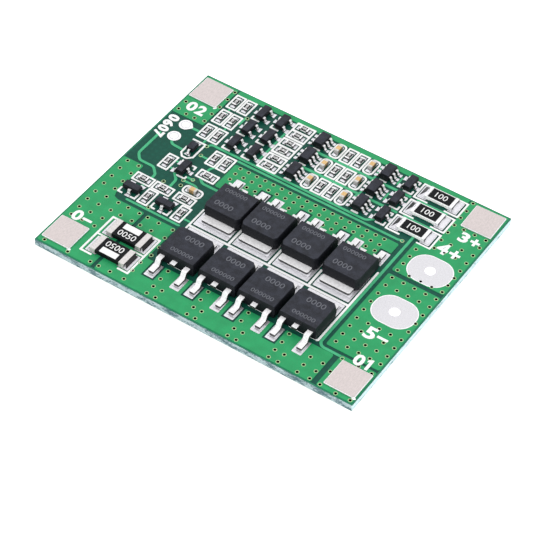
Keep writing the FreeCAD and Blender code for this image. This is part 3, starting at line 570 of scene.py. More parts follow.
def dull_sides(tree, skin, colour, dull, steep, level, front):
    """Painted shade: keep a share of a colour where the surface is steep, and the whole of it where it lies
    level or, with front above nought, where it faces the front."""
    facing = add(tree, "ShaderNodeNewGeometry").outputs["Normal"]
    lit = add(tree, "ShaderNodeVectorMath", {0: facing, 1: (0, -front, 1)}, operation="DOT_PRODUCT")
    side = (*[part * dull for part in colour], 1)
    return mixed(tree, stretched(tree, lit.outputs["Value"], steep, level), side, skin)


def covered(tree, shader, skin, height, distance):
    """Give a shader its colour, and raise its surface by a height in millimetres."""
    bump = add(tree, "ShaderNodeBump", {"Height": height, "Distance": distance * MM})
    tree.links.new(skin, shader.inputs["Base Color"])
    tree.links.new(bump.outputs["Normal"], shader.inputs["Normal"])


def solder_mask(name, colour, weave):
    """Liquid photo-imaged solder mask: glossy green epoxy ink with a slight orange peel; over bare laminate
    the glass weave shows faintly through it."""
    gloss = 0.12 if weave else 0.2
    material, tree, shader, place = new_material(name, colour, 0.38, Specular_IOR_Level=gloss)
    skin = tinted(tree, clouds(tree, place, 1.6), colour, 0.9, 1.08)
    if weave:
        # Glass cloth has a yarn about every 0.5 mm both ways
        cloth = {"Vector": place, "Scale": 0.314 / (0.5 * MM) / 2, "Distortion": 1.5, "Detail": 1.0,
                 "Detail Scale": 2.0}
        bands = [add(tree, "ShaderNodeTexWave", cloth, bands_direction=axis).outputs["Fac"] for axis in "XY"]
        woven = stretched(tree, reckoned(tree, "MULTIPLY", *bands), 0.0, 1.0, 0.93, 1.1)
        skin = mixed(tree, 1.0, skin, woven, blend_type="MULTIPLY")
    covered(tree, shader, skin, grain(tree, place, 0.22), 0.008)
    return material


def cut_laminate(colour):
    """Sawn glass-fibre epoxy: a rough whitish edge where torn yarns lie beside bluish resin, in layers."""
    material, tree, shader, place = new_material("sawn_laminate", colour, 0.7, Specular_IOR_Level=0.3)
    # The cloth's layers lie 0.2 mm apart, so the noise is squeezed along the height
    layered = squeezed(tree, place, 1, 1, 3)
    yarns = grain(tree, layered, 0.32, 3.0)
    both = reckoned(tree, "ADD", grain(tree, layered, 2.2, 3.0), yarns)
    # Painted light: the edges that face along x are painted paler and less mottled than the others
    normal = add(tree, "ShaderNodeNewGeometry").outputs["Normal"]
    across = reckoned(tree, "ABSOLUTE", add(tree, "ShaderNodeSeparateXYZ", {"Vector": normal}).outputs["X"])
    both = reckoned(tree, "MULTIPLY_ADD", across, 0.16, both)
    painted_edge_light = reckoned(tree, "MULTIPLY_ADD", across, 0.4, 1.0)
    mottled = mixed(tree, stretched(tree, both, 0.88, 1.08), (*linear("#55747A"), 1), (*colour, 1))
    covered(tree, shader, mixed(tree, 1.0, mottled, painted_edge_light, blend_type="MULTIPLY"), yarns, 0.04)
    return material


def printed_ink(colour):
    """Screen-printed epoxy ink: matt white, a little thin and grainy."""
    material, tree, shader, place = new_material("printed_ink", colour, 0.6, Specular_IOR_Level=0.3)
    skin = tinted(tree, clouds(tree, place, 0.35), colour, 0.96, 1.0)
    covered(tree, shader, skin, grain(tree, place, 0.15), 0.004)
    return material


def tin_plate(name, colour, roughness, ripple, blotch, metal, dull, steep=0.05, level=0.35, front=0.0):
    """Tin and set solder: a bright soft metal whose skin ripples where it froze. Stamped sides and the foot
    of a fillet are painted darker than what faces up, as painted shade."""
    material, tree, shader, place = new_material(name, colour, roughness, Metallic=metal)
    skin = tinted(tree, clouds(tree, place, blotch), colour, 0.82, 1.0)
    # Painted shade: steep faces keep only a share of the colour, while faces that lie level or face the front
    # keep all of it
    skin = dull_sides(tree, skin, colour, dull, steep, level, front)
    covered(tree, shader, skin, grain(tree, place, 0.4), ripple)
    return material


def rolled_nickel(colour):
    """Rolled nickel strip: warm grey metal with a fine brushed grain along its length."""
    material, tree, shader, place = new_material("rolled_nickel", colour, 0.55, Metallic=1.0)
    # The real grain is a few hundredths of a millimetre, drawn at 0.16 mm so that it shows
    fine = grain(tree, squeezed(tree, place, 1, 0.35, 1), 0.16, 3.0)
    tree.links.new(stretched(tree, fine, 0.3, 0.7, 0.46, 0.62), shader.inputs["Roughness"])
    covered(tree, shader, tinted(tree, stretched(tree, fine, 0.3, 0.7), colour, 0.78, 1.02), fine, 0.01)
    return material


def moulded_epoxy(colour):
    """Transfer-moulded epoxy: near-black, matt, with the fine spark-eroded texture of its mould."""
    material, tree, shader, place = new_material("moulded_epoxy", colour, 0.55, Specular_IOR_Level=0.2)
    # The mould's texture is about 0.03 mm, drawn at 0.09 mm so that it shows
    fine = grain(tree, place, 0.09)
    both = reckoned(tree, "ADD", fine, grain(tree, place, 1.2))
    skin = tinted(tree, stretched(tree, both, 0.8, 1.2), colour, 0.55, 1.45)
    # Painted shade: the moulding's steep sides keep only about a third of its colour
    covered(tree, shader, dull_sides(tree, skin, colour, 0.32, 0.15, 0.7, 0.0), fine, 0.012)
    return material


def plain_ceramic(name, colour, roughness, blotch, gloss=0.4, dull=1.0):
    """Fired ceramic or its glassy coat: even in colour, with small blotches, and painted shade down its
    sides.
    """
    material, tree, shader, place = new_material(name, colour, roughness, Specular_IOR_Level=gloss)
    skin = tinted(tree, clouds(tree, place, blotch, 2.0), colour, 0.88, 1.08)
    # Painted shade down the sides, sparing faces that face the front; a share of one leaves none
    skin = dull_sides(tree, skin, colour, dull, 0.2, 0.7, 0.35)
    covered(tree, shader, skin, grain(tree, place, 0.1), 0.004)
    return material


# The metals and the plain finishes: the material's name, its colour, and its maker's other values
# For the tin makers, the values after the metal share set the painted shade on steep faces: the share of
# colour kept there, the slopes between which it fades, and how far faces toward the front are spared
METALS = {
    "leads": ("tinned_lead", "#FBFAFC", 0.42, 0.004, 0.4, 0.1, 0.04),
    "caps": ("fired_terminal", "#D4D0CF", 0.45, 0.01, 0.25, 0.5, 0.06, 0.2, 0.6, 0.7),
    "white_ends": ("plated_terminal", "#F8F7FA", 0.42, 0.004, 0.4, 0.25, 0.05, 0.1, 0.4, 0.7),
    "dull_ends": ("dull_terminal", "#D2D0CD", 0.5, 0.02, 0.2, 0.4, 0.4, 0.1, 0.8, 0.7),
    "barrel_tin": ("wetted_barrel", "#FBFAFC", 0.15, 0.0, 0.5, 1.0, 1.0),
    "plated_land": ("plated_land", "#D3D2D6", 0.55, 0.004, 0.16, 0.8, 0.5),
    "bright_rim": ("wetted_rim", "#F4F3F6", 0.4, 0.0, 0.5, 0.5, 0.6),
}
CERAMICS = {
    "laser_mark": ("laser_mark", "#6A6C74", 0.6, 0.2, 0.2),
    "via_ring": ("mask_over_ring", "#ADCC97", 0.4, 0.3),
    # A via barrel's wall is painted near-black, as painted shade inside the hole
    "barrel": ("shaded_barrel", "#050404", 1.0, 0.3, 0.0),
    "film": ("resistor_glass", "#101215", 0.5, 0.5, 0.1),
    "alumina": ("alumina", "#FFFFFF", 0.5, 0.3),
    "digit": ("printed_digit", "#FFFFFF", 0.55, 0.2),
}


def make_materials(finishes):
    """Every finish of the board, by name."""
    materials = {
        "copper_mask": solder_mask("mask_over_copper", finishes.mask_on_copper, False),
        "laminate_mask": solder_mask("mask_over_laminate", finishes.mask_on_laminate, True),
        "track_mask": solder_mask("mask_over_track", finishes.track, False),
        "rim_mask": solder_mask("mask_at_rim", linear("#1F7A5A"), False),
        "edge": cut_laminate(finishes.edge),
        "ink": printed_ink(finishes.ink),
        "nickel": rolled_nickel(finishes.nickel),
        "epoxy": moulded_epoxy(finishes.epoxy),
        "solder": tin_plate("set_solder", finishes.tin, 0.38, 0.03, 0.3, 0.6, 0.05, 0.8, 0.96, 0.4),
        "capacitor": plain_ceramic("capacitor_ceramic", finishes.capacitor, 0.45, 0.4, 0.4, 0.22),
    }
    for maker, rows in ((tin_plate, METALS), (plain_ceramic, CERAMICS)):
        for key, (name, code, *values) in rows.items():
            materials[key] = maker(name, linear(code), *values)
    return materials


MATERIALS = {}


def sizes_of(group):
    """A group's sizes in millimetres, by name."""
    settings = getattr(bpy.context.scene, group)
    return {name: getattr(settings, name) / MM for name in SETTINGS[group].__annotations__}


# Board

# Heights between which a drill passes right through the board
THROUGH = (-1.0, 3.0)
VIA_SIDES = 10
# Copper and mask stand back from a drilled hole by this much
DRILL_RELIEF = 0.08
# Radius of the drills
WIRE_DRILL = 0.86
SENSE_DRILL = 0.555
# The mask's rim round the board: its width and what it adds in height
MASK_RIM = 0.3
MASK_THICKNESS = 0.012
POUR_CORNER = 0.3
# Each track lies a hair lower than the one before, so that none shares a face with another where they cross
TRACK_TOP = COPPER_TOP - 0.006
TRACK_STEP = 0.0004

# Length and width of the bare pads, their distance from the part's middle, and how far the pour keeps back
DRAIN_PAD = (6.3, 6.2)
DRAIN_PAD_BACK = 2.23
LEAD_PAD = (1.65, 2.9)
LEAD_PAD_FRONT = 5.05
LEAD_OFFSET = 2.3
LEAD_GAP = 0.3
# The end pads of shunts and balance resistors: how far they reach from the part's middle, and their sizes
END_PADS = ((SHUNTS, 3.93, (2.0, 3.4)), (BALANCE_RESISTORS, 3.5, (1.6, 2.8)))
END_GAP = 0.06
TAB_PAD = (4.8, 4.8)
POWER_LAND = (7.08, 5.84)
POWER_LAND_CORNER = 2.65
# Radius of the opening round a sense land, and of the openings on the underside
SENSE_WINDOW = 1.15
UNDER_WINDOWS = ((POWER_PADS, 2.2), (SENSE_PADS, 1.3))


def via_drills(radius):
    """The drill of every via, as one piece."""
    return spread(plate("drill", [ring_loop(0, 0, radius, VIA_SIDES)], *THROUGH), VIAS, "via_drills")


def board_drills():
    """The drill of every hole in the board, as one piece."""
    vias = via_drills(sizes_of("board_sizes")["via_hole"] / 2 + DRILL_RELIEF)
    holes = [plate("wire_drill", [ring_loop(x, y, WIRE_DRILL, 32)], *THROUGH) for x, y in POWER_PADS.values()]
    holes += [plate("sense_drill", [ring_loop(x, y, SENSE_DRILL)], *THROUGH) for x, y in SENSE_PADS.values()]
    return joined([vias] + holes, "drills")


def pad_loops():
    """Outline of every bare pad, and how far the pour keeps back from it."""
    loops = []
    for x, y, turn in MOSFET_GRID:
        up = -1 if turn else 1
        loops.append((box_loop(x, y - up * DRAIN_PAD_BACK, *DRAIN_PAD), 0.0))
        for side in (-1, 1):
            pad = box_loop(x + up * side * LEAD_OFFSET, y + up * LEAD_PAD_FRONT, *LEAD_PAD)
            loops.append((pad, LEAD_GAP if side == 1 else 0.0))
    for places, reach, (length, width) in END_PADS:
        for x, y, turn in places:
            for side in (-1, 1):
                loops.append((box_loop(x + side * (reach - length / 2), y, length, width), END_GAP))
    loops += [(box_loop(x, y, *TAB_PAD), 0.0) for x, y, turn in WELD_TABS.values()]
    return loops


def power_land(x, y, grow=0.0):
    """An oval land with short flats on its four sides."""
    length, width = POWER_LAND
    return rounded(box_loop(x, y, length + 2 * grow, width + 2 * grow), POWER_LAND_CORNER + grow, 12)


def pad_windows():
    """The opening of every bare pad in the masked copper, as one piece."""
    loops = []
    for loop, gap in pad_loops():
        x = sum(point[0] for point in loop) / len(loop)
        y = sum(point[1] for point in loop) / len(loop)
        loops.append([(px + math.copysign(gap, px - x), py + math.copysign(gap, py - y)) for px, py in loop])
    loops += [power_land(x, y) for x, y in POWER_PADS.values()]
    loops += [ring_loop(x, y, SENSE_WINDOW, 32) for x, y in SENSE_PADS.values()]
    return joined([plate("window", [loop], BOARD_TOP - 0.5, COPPER_TOP + 0.5) for loop in loops], "windows")


def board_outline(inset, corner):
    """The board's outline, drawn in by a distance."""
    corners = span_loop(LEFT_EDGE + inset, HALF_LENGTH - inset, -HALF_WIDTH + inset, FAR_EDGE - inset)
    return rounded(corners, corner, 3)


class BOARD_OT_laminate(bpy.types.Operator):
    """Glass-fibre laminate, sawn to size and drilled"""
    bl_idname = "battery_board.laminate"
    bl_label = "Laminate"

    def execute(self, context):
        corner = sizes_of("board_sizes")["board_corner"]
        board = plate("laminate", [board_outline(0.0, corner)], UNDER_COPPER, BOARD_TOP)
        cut_away(board, board_drills())
        for name in ("edge", "laminate_mask"):
            board.data.materials.append(MATERIALS[name])
        for face in board.data.polygons:
            face.material_index = 1 if abs(face.normal.z) > 0.5 else 0
        finished(board, "laminate", "circuit_board")
        # The mask's own thickness shows as a thin green line round the sawn edge
        loops = [board_outline(0.01, corner), board_outline(MASK_RIM, MASK_RIM)]
        rims = [plate("mask_rim", loops, BOARD_TOP - SUNK, BOARD_TOP + MASK_THICKNESS),
                plate("mask_rim", loops, UNDER_COPPER - 0.03, UNDER_COPPER + SUNK)]
        finished(painted(joined(rims, "mask_rim"), MATERIALS["rim_mask"]), "laminate")
        return {"FINISHED"}


class BOARD_OT_copper(bpy.types.Operator):
    """Copper pours and tracks under the solder mask, on both sides"""
    bl_idname = "battery_board.copper"
    bl_label = "Masked copper"

    def execute(self, context):
        loops = [rounded(corners, POUR_CORNER, 3) for corners in POURS.values()]
        pours = plate("pours", loops, BOARD_TOP - SUNK, COPPER_TOP)
        cut_away(pours, board_drills())
        cut_away(pours, pad_windows())
        painted(pours, MATERIALS["copper_mask"])
        tracks = [plate("track", [ribbon(corners, width)], BOARD_TOP - SUNK, TRACK_TOP - TRACK_STEP * number)
                  for number, (width, corners) in enumerate(TRACKS)]
        tracks = painted(joined(tracks, "tracks"), MATERIALS["track_mask"])
        finished(joined([pours, tracks], "top_copper"), "masked_copper", "masked_copper")

        under = plate("under_copper", loops, 0.0, UNDER_COPPER + SUNK)
        cut_away(under, board_drills())
        lands = [plate("land_window", [ring_loop(x, y, radius, 40)], -0.5, 0.5)
                 for places, radius in UNDER_WINDOWS for x, y in places.values()]
        cut_away(under, joined(lands, "land_windows"))
        finished(painted(under, MATERIALS["copper_mask"]), "masked_copper")
        return {"FINISHED"}


class BOARD_OT_vias(bpy.types.Operator):
    """Plated through holes with a ring on each side"""
    bl_idname = "battery_board.vias"
    bl_label = "Vias"

    def execute(self, context):
        sizes = sizes_of("board_sizes")
        radius = sizes["via_ring"] / 2
        hole = sizes["via_hole"] / 2
        # The rings end a hair under the pads that some of them touch, and a hair over the underside
        height = PAD_TOP - 0.001
        select_only()
        bpy.ops.mesh.primitive_cylinder_add(vertices=VIA_SIDES, radius=radius, depth=height,
                                            location=(0, 0, 0), end_fill_type="NGON")
        via = bpy.context.object
        pick(via, "faces", lambda face: abs(face.normal.z) > 0.5)
        bpy.ops.mesh.inset(thickness=radius - hole, depth=0)
        bpy.ops.mesh.bridge_edge_loops()
        leave()
        placed(via, 0, 0, z=height / 2 + 0.0005)
        for name in ("via_ring", "barrel"):
            via.data.materials.append(MATERIALS[name])
        for face in via.data.polygons:
            inside = math.hypot(face.center.x, face.center.y) < hole + 0.01
            face.material_index = 1 if inside and abs(face.normal.z) < 0.5 else 0
        finished(spread(via, VIAS, "vias"), "masked_copper", smooth=60)
        return {"FINISHED"}


# Printed legend

INK_BOTTOM = BOARD_TOP - 0.01
# Outer length and width of a small part's printed frame
FRAME = (3.5, 1.95)

# Each printed sign, its left, right, lower and upper edge, and its turn
SIGNS = [
    ("0", -26.8, -25.15, 13.9, 16.1, 0), ("2", -24.95, -23.4, 13.9, 16.1, 0),
    ("3", 23.4, 24.95, 13.85, 16.0, 0), ("+", 25.3, 26.85, 14.15, 15.7, 0),
    ("4", 21.85, 23.7, 9.95, 12.3, 0), ("+", 23.95, 25.75, 10.1, 11.9, 0),
    ("5", 22.0, 23.75, -10.7, -8.3, 0), ("-", 24.0, 25.8, -9.7, -9.25, 0),
    ("0", 23.5, 25.1, -15.9, -13.7, 0), ("1", 25.6, 26.35, -15.9, -13.7, 0),
    ("0", -26.8, -25.15, -15.95, -13.7, 0), ("-", -24.95, -23.3, -15.1, -14.65, 0),
    ("0", -27.7, -25.8, 10.5, 11.85, -90), ("6", -27.7, -25.8, 9.05, 10.35, -90),
    ("0", -27.7, -25.8, 7.65, 8.95, -90), ("7", -27.7, -25.8, 6.25, 7.5, -90),
]


def frame_loops(x, y, turn, line, corner, inner_corner):
    """Outer and inner outline of a small part's printed frame."""
    length, width = reversed(FRAME) if turn else FRAME
    outer = box_loop(x, y, length, width)
    inner = box_loop(x, y, length - 2 * line, width - 2 * line)
    return [rounded(outer, corner, 4), rounded(inner, inner_corner, 4)]


def legend_paths(line):
    """Printed lines by width and corners."""
    paths = []
    for row in ROWS:
        for x in SMALL_TRANSISTOR_COLUMNS:
            paths.append((line, [(x + 0.1, row - 1.55), (x - 1.25, row - 1.55), (x - 1.25, row - 0.95)]))
            paths.append((0.42, [(x - 1.2, row + 0.8), (x - 1.2, row + 1.42)]))
        x = LAST_TRANSISTOR_COLUMN
        paths.append((line, [(x - 0.3, row - 1.5), (x + 1.05, row - 1.5), (x + 1.05, row - 0.85)]))
        paths.append((line, [(x + 0.45, row + 1.4), (x + 1.0, row + 1.4), (x + 1.0, row + 0.95)]))
        for x in CHIP_COLUMNS:
            paths.append((0.34, [(x - 0.68, row - 1.57), (x + 0.6, row - 1.57)]))
        for outer, inner in ((13.4, 15.7), (21.1, 18.85)):
            upper, lower = row + 1.65, row - 1.7
            paths.append((line, [(inner, upper), (outer, upper), (outer, lower), (inner, lower)]))
    paths += [
        (0.35, [(-19.3, -12.05), (-21.35, -12.05), (-21.35, -20.2), (-19.3, -20.2)]),
        (0.35, [(-14.6, -12.05), (-12.7, -12.05), (-12.7, -20.2), (-14.6, -20.2)]),
        (line, [(-21.1, -16.08), (-19.3, -16.08)]),
        (line, [(-14.4, -16.08), (-12.9, -16.08)]),
        (line, [(-21.4, 8.95), (-19.1, 8.95), (-19.1, 5.5), (-19.8, 4.8), (-20.7, 4.8), (-21.3, 5.5),
                (-21.3, 7.0)]),
        (line, [(-18.9, 0.93), (-17.45, 0.93), (-17.45, 1.4)]),
        (line, [(-18.0, 3.95), (-17.4, 3.95), (-17.4, 3.35)]),
        (line, [(-19.95, 4.15), (-19.95, 3.55)]),
    ]
    for x in (-22.45, -16.35):
        paths.append((line, [(x - 1.75, -6.1), (x - 1.75, -7.05), (x - 1.05, -7.05)]))
        paths.append((line, [(x + 1.35, -5.9), (x + 1.35, -7.05), (x + 0.6, -7.05)]))
    # Lines between and round the power transistors
    paths.append((line, [(-11.1, -2.9), (-11.1, -7.8)]))
    paths += [(0.4, [(x, -3.0), (x, -6.6)]) for x in (-3.97, 3.2, 10.33)]
    paths += [
        (0.4, [(-11.2, -6.85), (17.3, -6.85)]),
        (0.34, [(17.42, 1.4), (17.42, -15.08)]),
        (0.22, [(17.35, -15.08), (15.95, -15.08)]),
    ]
    for x in (MOSFET_PITCH * k for k in range(4)):
        for left, right in ((-11.2, -10.95), (-8.85, -7.95), (-6.6, -6.45)):
            paths.append((line, [(left + x, 4.1), (right + x, 4.1)]))
        paths.append((0.22, [(-8.95 + x, -15.08), (-6.3 + x, -15.08)]))
    return paths


def extents(piece):
    """Lowest and highest x, then lowest and highest y, of a piece."""
    across = [vertex.co.x for vertex in piece.data.vertices]
    up = [vertex.co.y for vertex in piece.data.vertices]
    return min(across), max(across), min(up), max(up)


def lettering(text, height, low, high, bold=0.0):
    """Print plain numbers as flat ink about the origin."""
    select_only()
    bpy.ops.object.text_add(location=(0, 0, 0))
    words = bpy.context.object
    words.data.body = text
    # A digit of the plain font is about 0.72 of its size high
    words.data.size = height * 1.38
    words.data.offset = bold
    words.data.resolution_u = 3
    words.data.extrude = (high - low) / 2
    bpy.ops.object.convert(target="MESH")
    piece = bpy.context.object
    close_up(piece)
    left, right, lower, upper = extents(piece)
    piece.data.transform(Matrix.Translation((-(right + left) / 2, -(upper + lower) / 2, (low + high) / 2)))
    return piece


def fitted(piece, length, width):
    """Stretch a flat piece about the origin until it fills a box."""
    left, right, lower, upper = extents(piece)
    piece.data.transform(Matrix.Diagonal((length / (right - left), width / (upper - lower), 1, 1)))
    return piece


def printed_sign(text, left, right, lower, upper, turn, low, high):
    """Print one sign so that it fills its place."""
    length, width = right - left, upper - lower
    if turn:
        length, width = width, length
    if text == "-":
        sign = plate("sign", [rounded(box_loop(0, 0, length, width), 0.08, 2)], low, high)
    elif text == "1":
        # A stem with a short flag
        stem, flag, half = 0.24, 0.54, width / 2
        corners = [(-stem, -half), (stem, -half), (stem, half), (0.0, half), (-flag, half - 0.36),
                   (-flag, half - 0.8), (-stem, half - 0.6)]
        sign = plate("sign", [corners], low, high)
    elif text == "+":
        arm, half = 0.23, length / 2
        quarter = [(half, -arm), (half, arm), (arm, arm)]
        corners = []
        for step in range(4):
            turned = Matrix.Rotation(math.pi / 2 * step, 2)
            corners += [tuple(turned @ Vector(point)) for point in quarter]
        sign = plate("sign", [corners], low, high)
    else:
        sign = fitted(lettering(text, width - 0.22, low, high, 0.11), length, width)
    return placed(sign, (left + right) / 2, (lower + upper) / 2, turn)


class BOARD_OT_legend(bpy.types.Operator):
    """White printed outlines, lines and terminal numbers"""
    bl_idname = "battery_board.legend"
    bl_label = "Legend"

    def execute(self, context):
        line = sizes_of("board_sizes")["ink_line"]
        frame_length, frame_width = FRAME
        loops = []
        for x, y, turn in RESISTORS + SINGLE_RESISTORS:
            loops += frame_loops(x, y, turn, line, 0.12, 0.04)
        for x, y, turn in CAPACITORS:
            loops += frame_loops(x, y, turn, line, 0.75, 0.5)
        # The dividers stand in pairs that share one frame
        for row in ROWS:
            loops.append(rounded(box_loop(DIVIDER_COLUMN, row, frame_length, 2 * frame_width), 0.12, 3))
            loops += [box_loop(DIVIDER_COLUMN, row + side * 0.885, frame_length - 2 * line, 1.35)
                      for side in (1, -1)]
        pieces = [plate("frames", loops, INK_BOTTOM, INK_TOP)]
        # Neighbouring lines differ a hair in height, so that none shares a face with another where they cross
        for number, (width, corners) in enumerate(legend_paths(line)):
            loop = strip(corners, width, 0.12 if width < 0.32 else 0.0)
            pieces.append(plate("line", [loop], INK_BOTTOM, INK_TOP - 0.003 * (number % 3 + 1)))
        for sign in SIGNS:
            pieces.append(printed_sign(*sign, INK_BOTTOM, INK_TOP))
        legend = painted(joined(pieces, "legend"), MATERIALS["ink"])
        finished(legend, "legend", "printed_legend", smooth=20)
        return {"FINISHED"}


# Bare pads and solder

# Rounding of a pad's edge
PAD_EDGE = 0.012
# Solder at a small lead: its distance from the part's middle, its width there and at its end, and its reach
CHIP_FOOT = (1.05, 0.45, 0.62, 0.85)
SINGLE_FOOT = (0.72, 0.6, 0.85, 0.9)
PAIRED_FOOT = (0.7, 0.5, 1.0, 0.95)
DIODE_FOOT = (1.0, 0.7, 1.1, 0.65)
# A small chip's end solder: its distance from the chip's middle, and its length and width
END_SOLDER = (0.88, 0.72, 0.88)
# The wires' pads: radius of the holes, of a sense land and the inside of its rim, and of the rings underneath
POWER_HOLE = 0.79
POWER_RIM_WIDTH = 0.15
POWER_UNDER_RING = 2.1
SENSE_HOLE = 0.55
SENSE_LAND = 1.1
SENSE_RIM_INNER = 0.8
SENSE_UNDER_RING = 1.15
# The point in which one sense land runs into its track: its reach and half its width
SENSE_POINT = (1.35, 0.12)
# Weld tabs, and the bright rim of solder that shows round them
TAB_SIZE = 4.96
TAB_RIM_SIZE = 5.2
TAB_RIM_HEIGHT = 0.24
# Where a little solder has run out at three of the weld tabs' corners, and how the beads are turned
TAB_BEADS = [(-22.75, -21.25, 20), (-22.8, 16.8, 60), (27.45, -21.3, 10)]
BEAD_RADIUS = 0.3
BEAD_STRETCH = (1.2, 0.8, 0.45, 1)


def small_feet():
    """Every small lead's solder: its part's place, the lead's offset and side, and the fan's sizes."""
    feet = [(place, step * LEAD_PITCH, side, CHIP_FOOT)
            for place in MONITOR_CHIPS for side in (1, -1) for step in (-1, 0, 1)]
    for place in TRANSISTORS:
        feet.append((place, 0.0, 1, SINGLE_FOOT))
        feet += [(place, step * LEAD_PITCH, -1, PAIRED_FOOT) for step in (-1, 1)]
    return feet + [(DIODE, 0.0, side, DIODE_FOOT) for side in (1, -1)]


def solder_mound(name, corners, base, rise, run, foot=0.55, toe=0.3):
    """Set solder on a pad: thin over its foot's share of the run, then climbing in a hollow curve."""
    mound = plate(name, [corners], base - SUNK, base + SUNK)
    pick(mound, "faces", lambda face: face.normal.z > 0.5)
    bpy.ops.mesh.inset(thickness=run * foot, depth=rise * toe)
    bpy.ops.mesh.inset(thickness=run * (1 - foot), depth=rise * (1 - toe))
    leave()
    return mound


def fan(inner, outer, start, end):
    """Corners of a fillet that widens away from a part, along y."""
    return [(-inner / 2, start), (inner / 2, start), (outer / 2, end), (-outer / 2, end)]


class BOARD_OT_pads(bpy.types.Operator):
    """Tinned pads and the solder set on them"""
    bl_idname = "battery_board.pads"
    bl_label = "Solder pads"

    def execute(self, context):
        rise = sizes_of("part_sizes")["solder_rise"]
        pieces = [plate("pad", [rounded(loop, 0.12, 2)], BOARD_TOP - SUNK, PAD_TOP, PAD_EDGE)
                  for loop, gap in pad_loops()]
        for (x, y, turn), along, side, (wall, inner, outer, reach) in small_feet():
            corners = fan(inner, outer, wall, wall + reach)
            foot = solder_mound("foot_solder", corners, COPPER_TOP, rise * 0.25, 0.2)
            placed(foot, side * along, 0)
            pieces.append(placed(foot, x, y, turn + (0 if side > 0 else 180)))
        offset, length, width = END_SOLDER
        for place in CHIP_RESISTORS + CAPACITORS:
            for side in (-1, 1):
                corners = box_loop(side * offset, 0, length, width)
                end = solder_mound("end_solder", corners, BOARD_TOP + 0.03, rise * 0.8, 0.3)
                pieces.append(placed(end, *place))
        pads = painted(joined(pieces, "solder_beds"), MATERIALS["solder"])
        finished(pads, "tin", "solder_pads", smooth=50)
        return {"FINISHED"}


def wire_pad(name, x, y, outline, inner, hole, under_radius, tool):
    """A land with a raised bright rim, its plated barrel, and the ring on the other side."""
    bore = ring_loop(x, y, hole - 0.03, 32)
    land = plate("land", [outline, bore], BOARD_TOP - SUNK, PAD_TOP + 0.01, 0.01)
    edge = plate("edge", [outline, inner], BOARD_TOP - SUNK / 2, PAD_TOP + 0.02, 0.008)
    for piece in (land, edge):
        cut_away(piece, tool, keep_tool=True)
    rim = plate("rim", [ring_loop(x, y, hole + 0.05, 32), bore], PAD_TOP, PAD_TOP + 0.018, 0.008)
    walls = [ring_loop(x, y, hole + 0.02, 32), ring_loop(x, y, hole - 0.04, 32)]
    barrel = plate("barrel", walls, 0.0, PAD_TOP)
    under = plate("under_land", [ring_loop(x, y, under_radius, 48), bore], 0.0, UNDER_COPPER + SUNK)
    painted(land, MATERIALS["plated_land"])
    painted(edge, MATERIALS["bright_rim"])
    for piece in (rim, barrel, under):
        painted(piece, MATERIALS["barrel_tin"])
    finished(joined([land, edge, rim, barrel, under], f"{name}_wire_pad"), "tin", f"{name}_pad")


class BOARD_OT_wire_pads(bpy.types.Operator):
    """Plated pads for the pack wires and the sense wires"""
    bl_idname = "battery_board.wire_pads"
    bl_label = "Wire pads"

    def execute(self, context):
        drills = via_drills(sizes_of("board_sizes")["via_hole"] / 2)
        for name, (x, y) in POWER_PADS.items():
            outline = power_land(x, y)
            inner = power_land(x, y, -POWER_RIM_WIDTH)
            wire_pad(name, x, y, outline, inner, POWER_HOLE, POWER_UNDER_RING, drills)
        for name, (x, y) in SENSE_PADS.items():
            outline = ring_loop(x, y, SENSE_LAND, 36)
            if name == "s1":
                reach, half = SENSE_POINT
                outline = [point for point in outline if abs(point[1] - y) > 0.5 or point[0] < x]
                outline += [(x + reach, y - half), (x + reach, y + half)]
                outline.sort(key=lambda point: math.atan2(point[1] - y, point[0] - x))
            inner = ring_loop(x, y, SENSE_RIM_INNER, 32)
            wire_pad(name, x, y, outline, inner, SENSE_HOLE, SENSE_UNDER_RING, drills)
        bpy.data.objects.remove(drills)
        return {"FINISHED"}


class BOARD_OT_weld_tabs(bpy.types.Operator):
    """Nickel plates soldered to the board's corners"""
    bl_idname = "battery_board.weld_tabs"
    bl_label = "Weld tabs"

    def execute(self, context):
        tab_top = COPPER_TOP + sizes_of("board_sizes")["tab_thickness"]
        tab_outline = rounded(box_loop(0, 0, TAB_SIZE, TAB_SIZE), 0.15, 3)
        rim_outline = rounded(box_loop(0, 0, TAB_RIM_SIZE, TAB_RIM_SIZE), 0.2, 3)
        rims = []
        for name, place in WELD_TABS.items():
            tab = placed(plate(f"nickel_tab_{name}", [tab_outline], COPPER_TOP, tab_top, 0.03), *place)
            rim = plate("rim", [rim_outline], COPPER_TOP, COPPER_TOP + TAB_RIM_HEIGHT, 0.08)
            rims.append(placed(rim, *place))
            finished(painted(tab, MATERIALS["nickel"]), "nickel", f"weld_tab_{name}")
        select_only()
        bpy.ops.mesh.primitive_uv_sphere_add(segments=16, ring_count=8, radius=BEAD_RADIUS,
                                             location=(0, 0, 0))
        bead = bpy.context.object
        bead.data.transform(Matrix.Translation((0, 0, COPPER_TOP)) @ Matrix.Diagonal(BEAD_STRETCH))
        beads = spread(bead, TAB_BEADS, "tab_beads")
        finished(painted(joined([beads] + rims, "tab_solder"), MATERIALS["bright_rim"]), "tin")
        return {"FINISHED"}


# Parts that are set on the board


def set_out(places, *models):
    """Copy a part's models to each place, each copy standing in for its own node, and drop the models."""
    for number, place in enumerate(places, start=1):
        for model, name, slot, node, smooth in models:
            piece = copied(model, name.format(number), *place, COPPER_TOP)
            finished(piece, slot, node.format(number), smooth=smooth)
    for row in models:
        bpy.data.objects.remove(row[0])


